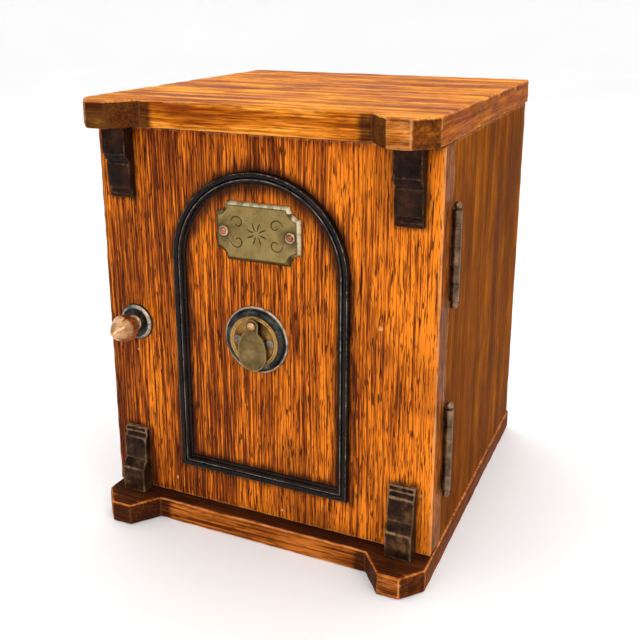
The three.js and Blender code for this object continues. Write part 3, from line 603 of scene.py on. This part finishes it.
def worn_copy(node, rounding, step, reach=3.5 * MM, depth=0.35 * MM, boxy=True,
              bands=(2 * MM, 4.5 * MM), seed=1):
    """A CAD node's shape with rounded, dented edges, and attributes of edge wear and of no stain or shade
    for its finish.

    Wear fades out at the reach from an edge. A boxy piece is worn only along the edges of its box.
    """
    work = solid_of(node)
    edges = crests(work)
    if boxy:
        edges = outer_edges(work, edges)
    segments = [(np.array(e.verts[0].co), np.array(e.verts[1].co)) for e in edges]
    round_off(work, edges, rounding)
    slice_up(work, step, bands)
    mesh = to_mesh(work, node)
    away = segment_distances(points_of(mesh), segments)
    wear_and_highlight = np.clip(1.15 - away / reach, 0, 1)
    dent(mesh, wear_and_highlight, depth, 7 * MM, seed)
    give(mesh, "wear_and_highlight", wear_and_highlight)
    give(mesh, "stain_and_shade", np.zeros(len(away)))
    return mesh


def raised(profile, ground):
    """A turned profile in metres, from one in millimetres with its heights above a ground."""
    return [[radius * MM, ground + height * MM] for radius, height in profile]


def radius_about(points, x, z):
    """Each point's distance from an axis that runs from front to back."""
    return np.hypot(points[:, 0] - x, points[:, 2] - z)


def lathe(profile, centre, segments, axis="front"):
    """A turned piece. Profile points are [radius, height], from the front or top end to the other."""
    work = bmesh.new()
    rings = []
    for radius, height in profile:
        if radius < 1e-7:
            rings.append([work.verts.new((0, 0, height))])
            continue
        ring = []
        for k in range(segments):
            angle = 2 * math.pi * k / segments
            ring.append(work.verts.new((radius * math.cos(angle), radius * math.sin(angle), height)))
        rings.append(ring)
    for upper, lower in zip(rings, rings[1:]):
        for k in range(segments):
            following = (k + 1) % segments
            corners = [upper[k % len(upper)], upper[following % len(upper)],
                       lower[following % len(lower)], lower[k % len(lower)]]
            corners = list(dict.fromkeys(corners))
            if len(corners) > 2:
                work.faces.new(corners)
    turn = Matrix.Rotation(math.radians(90), 4, "X") if axis == "front" else Matrix.Identity(4)
    work.transform(Matrix.Translation(centre) @ turn)
    return to_mesh(work, "turned")


def spline(a, b, c, d, t):
    """The point at share t between b and c on a smooth curve through four numbers."""
    square = (2 * a - 5 * b + 4 * c - d) * t * t
    cube = (3 * b - a - 3 * c + d) * t ** 3
    return 0.5 * (2 * b + (c - a) * t + square + cube)


def smooth_profile(points, steps=4):
    """More points along a profile, on a smooth curve through the given ones."""
    padded = [points[0], *points, points[-1]]
    result = []
    for a, b, c, d in zip(padded, padded[1:], padded[2:], padded[3:]):
        for step in range(steps):
            result.append([spline(a[k], b[k], c[k], d[k], step / steps) for k in range(2)])
    return [*result, points[-1]]


def carve(mesh, *cutters):
    """Cuts other closed meshes out of a mesh."""
    target = bpy.data.objects.new("carve_target", mesh)
    SCENE.collection.objects.link(target)
    tools = []
    for cutter in cutters:
        tool = bpy.data.objects.new("carve_tool", cutter)
        SCENE.collection.objects.link(tool)
        tools.append(tool)
        modifier = target.modifiers.new("carve", "BOOLEAN")
        modifier.object = tool
        modifier.operation = "DIFFERENCE"
        modifier.solver = "EXACT"
    graph = bpy.context.evaluated_depsgraph_get()
    result = bpy.data.meshes.new_from_object(target.evaluated_get(graph))
    for piece in [target, *tools]:
        bpy.data.objects.remove(piece)
    return result


def stacked(rings, name):
    """A closed solid from rings of equal length, the first and last of them filled."""
    work = bmesh.new()
    made = [[work.verts.new(point) for point in ring] for ring in rings]
    for lower, upper in zip(made, made[1:]):
        for k in range(len(lower)):
            following = (k + 1) % len(lower)
            work.faces.new([lower[k], lower[following], upper[following], upper[k]])
    work.faces.new(made[0])
    work.faces.new(made[-1])
    return to_mesh(work, name)


def prism(outline, y0, y1):
    """A closed block whose outline is given in X and Z, from y0 to y1."""
    return stacked([[(x, y, z) for x, z in outline] for y in (y0, y1)], "prism")


def arc(centre, radius, start, end, count):
    """Points in X and Z on an arc, its angles in degrees."""
    angles = [math.radians(start + (end - start) * k / count) for k in range(count + 1)]
    return [(centre[0] + radius * math.cos(a), centre[1] + radius * math.sin(a)) for a in angles]


def inset(outline, distance):
    """A closed anticlockwise outline moved inwards by a distance, point for point."""
    count = len(outline)
    moved = []
    for k in range(count):
        before, point, after = outline[k - 1], outline[k], outline[(k + 1) % count]
        tangent = Vector((after[0] - before[0], after[1] - before[1])).normalized()
        moved.append((point[0] - tangent.y * distance, point[1] + tangent.x * distance))
    return moved


# ---------------------------------------------------------------- the cabinet's boards and the door

def between(values, start, end, soft=1.0 * MM):
    """1 where a value lies between two limits, falling to 0 just outside them."""
    return np.clip((values - start) / soft + 1, 0, 1) * np.clip((end - values) / soft + 1, 0, 1)


def ear_looks(points, node):
    """Worn lines and painted highlights, dark stain and painted shade, and end grain on the ears and beside
    them.
    """
    low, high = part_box(node)
    reach = 1000 * (high.x - np.abs(points[:, 0]))
    back = 1000 * (points[:, 1] - low.y)
    below_top = np.clip((1000 * (high.z - points[:, 2]) - 0.5) / 1.0, 0, 1)
    right = points[:, 0] > 0
    ahead = np.clip((18 - back) / 2, 0, 1) * below_top
    chamfer = between(reach, 0.6, 11, 0.8) * between(back, 0, 14, 1)
    facet = between(reach, 12, 24.6, 0.8) * between(back, 0, 1.2, 1)
    shoulder = between(reach, 25.2, 37, 1) * between(back, 0.6, 15.5, 1)
    corner = between(reach, 37, 43, 5)
    # Painted shade, with some stain: each facet of the ears darkens by its own amount, differently on the
    # right ear and the left.
    stain_and_shade = np.where(right, 0.6 * chamfer + 0.4 * facet + 1.0 * shoulder + 0.75 * corner,
                     0.45 * chamfer + 0.8 * facet + 0.9 * shoulder + 0.8 * corner)
    # Worn lines along the creases between facets, also painted highlights; painted light on the right ear's
    # front facet and on the left ear's chamfer.
    creases = between(reach, 11.0, 11.8, 0.5) + 1.4 * between(reach, 37.2, 38.0, 0.6)
    worn_and_lit = np.where(right, 0.75 * facet, 0.5 * chamfer) + 0.9 * creases
    return worn_and_lit * ahead, np.clip(stain_and_shade, 0, 1) * ahead, 0.7 * chamfer * ahead


def make_boards():
    ear_bands = tuple(band * MM for band in (1.5, 3.5, 10.2, 12.6, 14.5, 17, 24.3, 25.7, 36, 39.2, 43))
    for node, finish, seed in [("top_board", "board", 3), ("base_board", "base", 8)]:
        mesh = worn_copy(node, 1.3 * MM, 6 * MM, reach=2.6 * MM, boxy=False, depth=0.6 * MM,
                         bands=ear_bands, seed=seed)
        points = points_of(mesh)
        worn_and_lit, stain_and_shade, cut = ear_looks(points, node)
        wear_and_highlight = np.empty(len(points))
        mesh.attributes["wear_and_highlight"].data.foreach_get("value", wear_and_highlight)
        give(mesh, "wear_and_highlight", np.maximum(wear_and_highlight, worn_and_lit))
        if node == "base_board":
            low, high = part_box(node)
            # Painted shade on the ledge in front of the door, kept off its worn front edge.
            ledge = (points[:, 2] > high.z - 0.6 * MM) * between(points[:, 1], low.y, -80 * MM, 6 * MM)
            stain_and_shade = np.maximum(stain_and_shade, ledge * (0.85 - 0.8 * np.clip(2 * wear_and_highlight - 1, 0, 1)))
        give(mesh, "stain_and_shade", stain_and_shade)
        ends = np.abs(points[:, 0]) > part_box(node)[1].x - 0.3 * MM
        give(mesh, "end", np.maximum(cut, 0.85 * ends))
        show(node, mesh, finish)
    for node, seed in [("left_side", 5), ("right_side", 6)]:
        show(node, worn_copy(node, 1.0 * MM, 8 * MM, seed=seed), "side")
    show("back_panel", worn_copy("back_panel", 0.7 * MM, 12 * MM), "plain")
    show("door_stop", worn_copy("door_stop", 0.8 * MM, 12 * MM), "plain")


def arch_distance(points, reach, spring, foot):
    """Signed distance in the door's plane from the outline of the arched panel."""
    x, z = np.abs(points[:, 0]), points[:, 2]
    above = np.hypot(x, z - spring) - reach
    beside = np.maximum(x - reach, foot - z)
    return np.where(z > spring, above, beside)


def make_door():
    mesh = worn_copy("door_board", 1.1 * MM, 3 * MM, seed=9, bands=(1.5 * MM,))
    points = points_of(mesh)
    low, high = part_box("arch_moulding")
    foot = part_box("moulding_bottom")[0].z
    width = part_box("moulding_left")[1].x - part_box("moulding_left")[0].x
    away = arch_distance(points, high.x, low.z, foot)
    # Painted shade round the moulding: a thin halo outside it and a wider one inside, widest towards the
    # arch's crown.
    outside = np.clip(1 - away / (7 * MM), 0, 1) * (away > 0)
    crown = np.clip((points[:, 2] - low.z) / (20 * MM), 0, 1)
    inside = np.clip(1 - (-away - width) / ((6.5 + 5 * crown) * MM), 0, 1) * (away <= 0)
    door_low, door_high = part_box("door_board")
    # Painted shade in a strip under the top board, and darker strips along the foot and the left edge.
    top = np.clip(1 - (door_high.z - points[:, 2]) / (7 * MM), 0, 1)
    foot_line = np.clip(1 - (points[:, 2] - door_low.z) / (3 * MM), 0, 1)
    left = np.clip(1 - (points[:, 0] - door_low.x) / (4 * MM), 0, 1)
    front = points[:, 1] < door_low.y + 2 * MM
    by_edges = np.maximum.reduce([0.5 * top, 0.45 * foot_line, 0.4 * left])
    stain_and_shade = front * np.maximum.reduce([0.75 * outside, 0.88 * inside, by_edges])
    # Painted shade round each corbel.
    for node in CORBELS:
        corner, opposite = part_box(node)
        beyond = [np.maximum(corner[k] - points[:, k], points[:, k] - opposite[k]) for k in (0, 2)]
        by_corbel = np.clip(1 - np.maximum(*beyond) / (5 * MM), 0, 1)
        stain_and_shade = np.maximum(stain_and_shade, front * 0.7 * by_corbel)
    # Painted shade on the right edge face, in the gap beside the side panel.
    edge = (points[:, 0] > door_high.x - 0.6 * MM) * (points[:, 1] > door_low.y + 1.4 * MM)
    give(mesh, "stain_and_shade", np.maximum(stain_and_shade, 0.6 * edge))
    # Painted light: lighter to the right of the door, darker to its left.
    give(mesh, "painted_light_gradient", np.clip(1.4 * points[:, 0] / door_high.x, -0.9, 1.4))
    show("door_board", mesh, "door")


# ---------------------------------------------------------------- moulding

def moulding_section():
    """Distance inwards from the outer edge and height: an outer bead, a quirk, an inner bead, a slope."""
    outer = arc((1.75, 2.4), 1.75, 180, 25, 14)
    inner = arc((4.7, 2.45), 1.25, 150, 10, 12)
    return [(0, 0), *outer, (3.45, 2.35), *inner, (6.3, 1.7), (7.0, 1.25), (7.2, 1.0), (7.2, 0)]


def moulding_wear_and_highlight(section):
    """Thin lines on the outer shoulder of the outer bead and on the crest of the inner one: wear and
    painted highlights.
    """
    wear_and_highlight = []
    for inward, height in section:
        # Worn lines that also stand in for highlights on the beads: painted highlights.
        shoulder = 0.75 * math.exp(-((inward - 0.8) / 0.3) ** 2)
        crest_wear_and_highlight = math.exp(-((inward - 4.4) / 0.3) ** 2)
        wear_and_highlight.append(max(shoulder, crest_wear_and_highlight) * (height > 3.0))
    return wear_and_highlight


def swept(rings, wear_and_highlight, name):
    """A moulding from rings of section points, with its attribute of worn lines and painted highlights, and
    small dents.
    """
    mesh = stacked(rings, name)
    values = np.tile(wear_and_highlight, len(rings))
    dent(mesh, 0.4 + 0.6 * values, 0.12 * MM, 6 * MM, 4)
    give(mesh, "wear_and_highlight", values)
    return mesh


def make_moulding():
    section = [(i * MM, h * MM) for i, h in moulding_section()]
    wear_and_highlight = moulding_wear_and_highlight(moulding_section())
    low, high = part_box("arch_moulding")
    reach, spring, ground = high.x, low.z, high.y
    steps = 120
    rings = []
    for k in range(steps + 1):
        angle = math.pi * k / steps
        rings.append([((reach - i) * math.cos(angle), ground - h, spring + (reach - i) * math.sin(angle))
                      for i, h in section])
    show("arch_moulding", swept(rings, wear_and_highlight, "arch"), "ebony_polished")

    steps = 60
    for node, side in [("moulding_left", -1), ("moulding_right", 1)]:
        low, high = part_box(node)
        rings = []
        for k in range(steps + 1):
            share = k / steps
            rings.append([(side * (reach - i), ground - h, (low.z + i) * (1 - share) + high.z * share)
                          for i, h in section])
        show(node, swept(rings, wear_and_highlight, node), "ebony_polished")
    low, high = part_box("moulding_bottom")
    rings = []
    for k in range(steps + 1):
        share = 2 * k / steps - 1
        rings.append([(share * (high.x - i), ground - h, low.z + i) for i, h in section])
    show("moulding_bottom", swept(rings, wear_and_highlight, "foot_rail"), "ebony_polished")


# ---------------------------------------------------------------- corbels

def make_corbels():
    for node in CORBELS:
        finish = "ebony_worn" if "lower" in node else "ebony"
        mesh = worn_copy(node, 0.45 * MM, 2.2 * MM, reach=1.8 * MM, depth=0.3 * MM, boxy=False, bands=(),
                         seed=len(node) + (5 if "left" in node else 2))
        show(node, mesh, finish, smooth=40)


# ---------------------------------------------------------------- name plate

SCALLOP_RADIUS = 6.8 * MM
PLATE_PINS = ("name_plate_pin_left", "name_plate_pin_right")
# Steps of the plate's rim: distance inwards and height in millimetres.
PLATE_RIM = [(0, 0), (0, 0.75), (0.15, 1.0), (0.9, 1.85), (1.75, 2.75), (2.0, 2.85), (2.3, 2.8), (2.6, 3.0),
             (3.0, 3.0)]


def scalloped(half_width, half_height, inward):
    """Outline of the plate, anticlockwise, moved inwards; the scallops stay centred on its corners."""
    reach = SCALLOP_RADIUS + inward
    outline = []
    for sx, sz, start in [(1, -1, 180), (1, 1, 270), (-1, 1, 0), (-1, -1, 90)]:
        corner = (sx * half_width, sz * half_height)
        trim = math.degrees(math.asin(inward / reach))
        outline += arc(corner, reach, start - trim, start - 90 + trim, 14)
    return outline


def groove(points, radius, depth, face):
    """A cutter for an engraved line along points in X and Z, sunk into a face that looks forwards."""
    rings = []
    for k, (x, z) in enumerate(points):
        before, after = points[max(k - 1, 0)], points[min(k + 1, len(points) - 1)]
        tangent = Vector((after[0] - before[0], after[1] - before[1])).normalized()
        share = k / (len(points) - 1)
        half = radius * (0.25 + 0.75 * math.sin(math.pi * share) ** 0.6)
        across = Vector((-tangent.y, tangent.x)) * half
        corners = [(-1, -depth), (1, -depth), (0.35, depth), (-0.35, depth)]
        rings.append([(x + s * across.x, face + y, z + s * across.y) for s, y in corners])
    return stacked(rings, "groove")


def plate_ornament(centre, face):
    """A plain rosette between two pairs of scrolls."""
    depth = 0.3 * MM
    cutters = []
    for k in range(8):
        angle = math.pi * k / 4 + math.pi / 8
        petal = [(centre.x + r * MM * math.cos(angle + bend), centre.z + r * MM * math.sin(angle + bend))
                 for r, bend in [(1.5, 0), (3.2, 0.1), (5.0, 0.08), (6.8, 0)]]
        cutters.append(groove(petal, 0.8 * MM, depth, face))
    for sx in (-1, 1):
        for sz in (-1, 1):
            scroll = []
            for k in range(26):
                turn = k / 25
                radius = (1.1 + 3.4 * turn) * MM
                angle = 1.9 * math.pi * (1 - turn)
                scroll.append((centre.x + sx * (12.2 * MM + radius * math.cos(angle)),
                               centre.z + sz * (5.4 * MM + radius * math.sin(angle))))
            cutters.append(groove(scroll, 0.6 * MM, depth, face))
    return cutters


def make_name_plate():
    """The plate with its stepped rim, its ornament and a shallow dish under each pin."""
    low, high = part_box("name_plate")
    centre = centre_of("name_plate")
    half_width, half_height = (high.x - low.x) / 2, (high.z - low.z) / 2
    rings = []
    for inward, height in PLATE_RIM:
        outline = scalloped(half_width, half_height, inward * MM)
        rings.append([(centre.x + x, high.y - height * MM, centre.z + z) for x, z in outline])
    pins = [centre_of(node) for node in PLATE_PINS]
    dishes = [rod_cutter(pin.x, pin.z, 3.3 * MM, low.y - MM, low.y + 0.2 * MM) for pin in pins]
    mesh = carve(stacked(rings, "plate"), *plate_ornament(centre, low.y), *dishes)
    points = points_of(mesh)
    x, z = points[:, 0] - centre.x, points[:, 2] - centre.z
    depth = (points[:, 1] - low.y) / MM
    by_pin = np.min([radius_about(points, pin.x, pin.z) for pin in pins], axis=0) < 3.4 * MM
    inner = (np.abs(x) < half_width - 5 * MM) & (np.abs(z) < half_height - 4 * MM)
    bevel = between(depth, 0.3, 2.3, 0.2) * ~inner * ~by_pin
    # Painted highlight: the bevels that face up and to the right get more wear_and_highlight, over a little
    # wear on all of them.
    lit = np.clip((x / half_width + 1.6 * z / half_height) / 1.2 + 0.4, 0, 1)
    give(mesh, "wear_and_highlight", bevel * (0.25 + 0.95 * lit))
    # Engraved lines, darkened.
    darkening = (depth > 0.05) & inner & ~by_pin
    rim_line = between(depth, 0.1, 0.22, 0.05) * ~inner * ~by_pin
    # Painted shade on the bevels that face down and to the left.
    shaded_low_side = bevel * np.clip(0.75 - 1.6 * lit, 0, 1)
    give(mesh, "stain_and_shade", np.maximum.reduce([0.85 * darkening, 0.7 * rim_line, shaded_low_side, 0.75 * by_pin]))
    show("name_plate", mesh, "plate", smooth=25)


def make_plate_pins():
    """The plate's two pins: a dome inside a flat worn rim, on a plain shank."""
    face = -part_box("name_plate")[0].y
    dome = [(0, 0), (0.3, 0.1), (0.55, 0.4), (0.68, 0.9), (0.72, 1.25), (0.8, 1.4), (0.93, 1.5), (1, 1.75)]
    shank = 1.1 * MM
    for node in PLATE_PINS:
        low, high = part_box(node)
        middle = centre_of(node)
        radius = (high.x - low.x) / 2
        profile = [[share * radius, -low.y - drop * MM] for share, drop in dome]
        profile += [[radius, face], [shank, face], [shank, -high.y], [0, -high.y]]
        pin = lathe(profile, (middle.x, 0, middle.z), 40)
        rim = between(points_of(pin)[:, 1], low.y + 1.3 * MM, low.y + 1.6 * MM, 0.2 * MM)
        give(pin, "wear_and_highlight", 0.1 + 0.6 * rim)
        show(node, pin, "pin", smooth=30)


# ---------------------------------------------------------------- lock furniture

LOCK_X = centre_of("lock_boss").x
LOCK_Z = centre_of("lock_boss").z
KEYHOLE = (LOCK_X, LOCK_Z - 4 * MM)


def keyhole_outline(grow):
    """Keyhole round the origin, grown by a distance: a round hole with a slot below it."""
    half, radius, drop = 1.3 * MM + grow, 3.4 * MM + grow, 9.5 * MM + grow
    start = -math.degrees(math.acos(half / radius))
    return [(half, -drop), *arc((0, 0), radius, start, 180 - start, 28), (-half, -drop)]


def keyhole_cutter(grow, y0, y1):
    x, z = KEYHOLE
    return prism([(x + px, z + pz) for px, pz in keyhole_outline(grow)], y0, y1)


def rod_cutter(x, z, radius, y0, y1):
    return prism(arc((x, z), radius, 0, 345, 23), y0, y1)


def with_lock_holes(mesh, node, grow):
    """Cuts the keyhole and the holes for the cover's rivet and the two screws through a turned plate."""
    low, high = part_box(node)
    front, back = low.y - MM, high.y + MM
    holes = [keyhole_cutter(grow, front, back)]
    fasteners = [("cover_rivet", 1.8), ("lock_plate_screw_left", 1.5), ("lock_plate_screw_right", 1.5)]
    for fastener, radius in fasteners:
        middle = centre_of(fastener)
        holes.append(rod_cutter(middle.x, middle.z, radius * MM, front, back))
    return carve(mesh, *holes)


def make_lock_boss():
    """The round boss, with a flat seat for the lock plate and a rounded rim."""
    seat = (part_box("lock_plate")[1].x - LOCK_X) / MM
    profile = [[0, 3.2], [seat + 0.25, 3.2], [seat + 0.75, 3.1], [17.6, 2.55], [18.2, 2.2], [18.5, 1.55],
               [18.75, 1.0], [19.1, 0.85], [19.4, 1.05], [19.7, 1.3], [20.3, 1.25], [20.7, 0.95],
               [20.8, 0.6], [20.8, 0], [0, 0]]
    boss = lathe(raised(profile, -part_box("lock_boss")[1].y), (LOCK_X, 0, LOCK_Z), 96)
    boss = with_lock_holes(boss, "lock_boss", 0.4 * MM)
    points = points_of(boss)
    rim = radius_about(points, LOCK_X, LOCK_Z) > 19.5 * MM
    angle = np.arctan2(points[:, 2] - LOCK_Z, points[:, 0] - LOCK_X)
    # A worn rim, and a painted highlight on the boss's upper right.
    give(boss, "wear_and_highlight", 0.75 * rim + 0.25 * np.clip(np.cos(angle - 0.6), 0, 1))
    show("lock_boss", boss, "patina", smooth=40)


def make_lock_plate():
    """The plate round the keyhole, with two raised rings at its edge."""
    profile = [[0, 0.98], [12.7, 0.98], [13.2, 1.05], [13.5, 1.35], [13.8, 1.4], [14.1, 1.35], [14.35, 1.1],
               [14.55, 1.08], [14.8, 1.3], [15.1, 1.38], [15.45, 1.25], [15.7, 0.95], [15.8, 0.6],
               [15.8, 0], [0, 0]]
    plate = lathe(raised(profile, -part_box("lock_plate")[1].y), (LOCK_X, 0, LOCK_Z), 96)
    plate = with_lock_holes(plate, "lock_plate", 0)
    rings = radius_about(points_of(plate), LOCK_X, LOCK_Z) > 13 * MM
    give(plate, "wear_and_highlight", 0.8 * rings)
    show("lock_plate", plate, "lock", smooth=40)


def slotted_screw(node, head_radius, shank_radius, head, turn):
    """A round screw head with a slot across it, on a plain shank, along the node's box."""
    low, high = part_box(node)
    middle = centre_of(node)
    front = -low.y
    profile = [[0, front], [0.6 * head_radius, front - 0.04 * MM], [0.85 * head_radius, front - 0.15 * MM],
               [head_radius, front - 0.4 * MM], [head_radius, front - head], [shank_radius, front - head],
               [shank_radius, -high.y + 2 * MM], [0, -high.y]]
    mesh = lathe(profile, (middle.x, 0, middle.z), 40)
    direction = Vector((math.cos(turn), math.sin(turn)))
    along_slot, across_slot = direction * 2 * head_radius, Vector((-direction.y, direction.x)) * 0.4 * MM
    corners = [along_slot + across_slot, -along_slot + across_slot, -along_slot - across_slot,
               along_slot - across_slot]
    outline = [(middle.x + c.x, middle.z + c.y) for c in corners]
    mesh = carve(mesh, prism(outline, low.y - MM, low.y + 0.45 * MM))
    edge = radius_about(points_of(mesh), middle.x, middle.z) / head_radius
    give(mesh, "wear_and_highlight", np.clip(edge * 1.2 - 0.4, 0, 0.8))
    return mesh


def cover_outline():
    """The drop's outline round its pivot, anticlockwise: an eye, sloping shoulders and a disc."""
    eye, disc, drop = 4.4, 9.3, 18.7
    start, bend, end = (disc, -drop + 2.2), (disc, -7.5), (eye - 0.3, -4.2)
    right = []
    for k in range(9):
        t = k / 8
        first, second, third = (1 - t) ** 2, 2 * t * (1 - t), t * t
        right.append(tuple(first * start[j] + second * bend[j] + third * end[j] for j in (0, 1)))
    left = [(-x, z) for x, z in reversed(right)]
    outline = [*arc((0, -drop), disc, 180, 360, 36)[1:-1], *right, *arc((0, 0), eye, 0, 180, 24), *left]
    return [(x * MM, z * MM) for x, z in outline]


def make_cover():
    """The drop with a raised, worn rim, and the rivet that it hangs on."""
    low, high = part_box("keyhole_cover")
    pivot = centre_of("cover_rivet")
    outline = cover_outline()
    rim = [(0.25, 0), (0, 0.2), (0, 1.2), (0.12, 1.42), (0.45, 1.5), (0.75, 1.45), (1, 1.28), (1.5, 1.28)]
    rings = []
    for inward, height in rim:
        ring = inset(outline, inward * MM)
        rings.append([(pivot.x + x, high.y - height * MM, pivot.z + z) for x, z in ring])
    mesh = carve(stacked(rings, "cover"), rod_cutter(pivot.x, pivot.z, 1.7 * MM, low.y - MM, high.y + MM))
    give(mesh, "wear_and_highlight", 0.9 * (points_of(mesh)[:, 1] < low.y + 0.12 * MM))
    show("keyhole_cover", mesh, "cover", smooth=30)

    low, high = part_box("cover_rivet")
    head = [[0, -0.25], [0.7, -0.2], [1.1, 0], [1.6, -0.05], [2.2, -0.4], [2.55, -0.75], [2.6, -0.9],
            [1.5, -0.9]]
    profile = [*raised(head, -low.y), [1.5 * MM, -high.y], [0, -high.y]]
    show("cover_rivet", lathe(profile, (pivot.x, 0, pivot.z), 40), "copper", smooth=35)


def make_lock_screws():
    for node, turn in [("lock_plate_screw_left", 0.6), ("lock_plate_screw_right", -0.8)]:
        show(node, slotted_screw(node, 2.5 * MM, 1.3 * MM, 0.7 * MM, turn), "steel", smooth=35)


# ---------------------------------------------------------------- knob

def make_knob():
    """The rose on the door, and the pointed knob with its neck and spindle."""
    middle = centre_of("knob_rose")
    ground = -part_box("knob_rose")[1].y
    place = (middle.x, 0, middle.z)
    profile = [[5.2, 2.5], [8.6, 2.48], [9.6, 2.35], [10.3, 2.05], [10.7, 1.55], [11.0, 1.2], [11.35, 1.1],
               [11.6, 0.9], [11.7, 0.5], [11.7, 0], [3.3, 0], [3.3, 2.5], [5.2, 2.5]]
    rose = lathe(raised(profile, ground), place, 80)
    radius = radius_about(points_of(rose), middle.x, middle.z)
    give(rose, "wear_and_highlight", 0.8 * (radius > 9.5 * MM) * (radius < 11.2 * MM))
    show("knob_rose", rose, "patina", smooth=40)

    outer = smooth_profile([[0.05, 25.6], [1.2, 25.3], [2.6, 24.1], [4.4, 22.0], [6.2, 19.4], [7.5, 16.8],
                            [8.2, 15.2], [8.5, 13.8], [8.3, 12.0], [7.6, 10.2], [6.0, 9.2], [4.2, 8.4],
                            [3.7, 7.2], [3.5, 6.0], [3.8, 4.6], [4.3, 3.6], [5.0, 3.1], [5.0, 2.85]])
    spindle, end = 3.0, -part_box("door_knob")[1].y
    profile = raised([[0, 25.6], *outer[1:], [spindle, 2.8]], ground)
    profile += [[spindle * MM, end], [0, end]]
    knob = lathe(profile, place, 96)
    points = points_of(knob)
    ahead = -points[:, 1] - ground
    give(knob, "wear_and_highlight", np.clip((ahead - 9 * MM) / (4 * MM), 0, 0.35))
    give(knob, "stain_and_shade", 0.55 * np.clip((10 * MM - ahead) / (1.5 * MM), 0, 1))
    show("door_knob", knob, "copper", smooth=60)


# ---------------------------------------------------------------- hinges and inner pieces

def fine_copy(node, rounding):
    """A CAD node's shape with slightly rounded edges and a little wear all over."""
    work = solid_of(node)
    round_off(work, crests(work, 50), rounding, 2)
    mesh = to_mesh(work, node)
    give(mesh, "wear_and_highlight", np.full(len(mesh.vertices), 0.3))
    return mesh


def make_hinges():
    for place in ("lower", "upper"):
        for leaf in ("case_leaf", "door_leaf"):
            node = f"{place}_hinge_{leaf}"
            show(node, fine_copy(node, 0.18 * MM), "hinge", smooth=30)
        node = f"{place}_hinge_pin"
        low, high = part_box(node)
        middle = centre_of(node)
        ball = 2.2 * MM
        upper = [[ball * math.sin(a), high.z - ball + ball * math.cos(a)]
                 for a in [math.radians(10 * k) for k in range(15)]]
        upper += [[1.4 * MM, high.z - 2 * ball + 0.35 * MM], [1.3 * MM, high.z - 2 * ball]]
        lower = [[radius, low.z + high.z - height] for radius, height in reversed(upper)]
        pin = lathe([*upper, *lower], (middle.x, middle.y, 0), 32, axis="up")
        give(pin, "wear_and_highlight", np.full(len(pin.vertices), 0.7))
        show(node, pin, "hinge", smooth=40)


def make_inner_pieces():
    steel_nodes = ["lock_backplate", "lock_case", "lock_bolt", "bolt_guide"]
    brass_nodes = ["latch_cam", "cam_nut", "strike_keep"]
    for node in steel_nodes:
        show(node, fine_copy(node, 0.2 * MM), "steel")
    for node in brass_nodes:
        show(node, fine_copy(node, 0.15 * MM), "hinge")
    for node in NODES:
        if "back_screw" in node or "lock_screw" in node or node == "key_post":
            refinish(node, "steel")
        elif "strike_screw" in node or "hinge_case_screw" in node or "hinge_door_screw" in node:
            refinish(node, "hinge")


# ---------------------------------------------------------------- assembly

FINISHES = make_finishes()
make_camera()
make_stage()
make_boards()
make_door()
make_moulding()
make_corbels()
make_name_plate()
make_plate_pins()
make_lock_boss()
make_lock_plate()
make_lock_screws()
make_cover()
make_knob()
make_hinges()
make_inner_pieces()
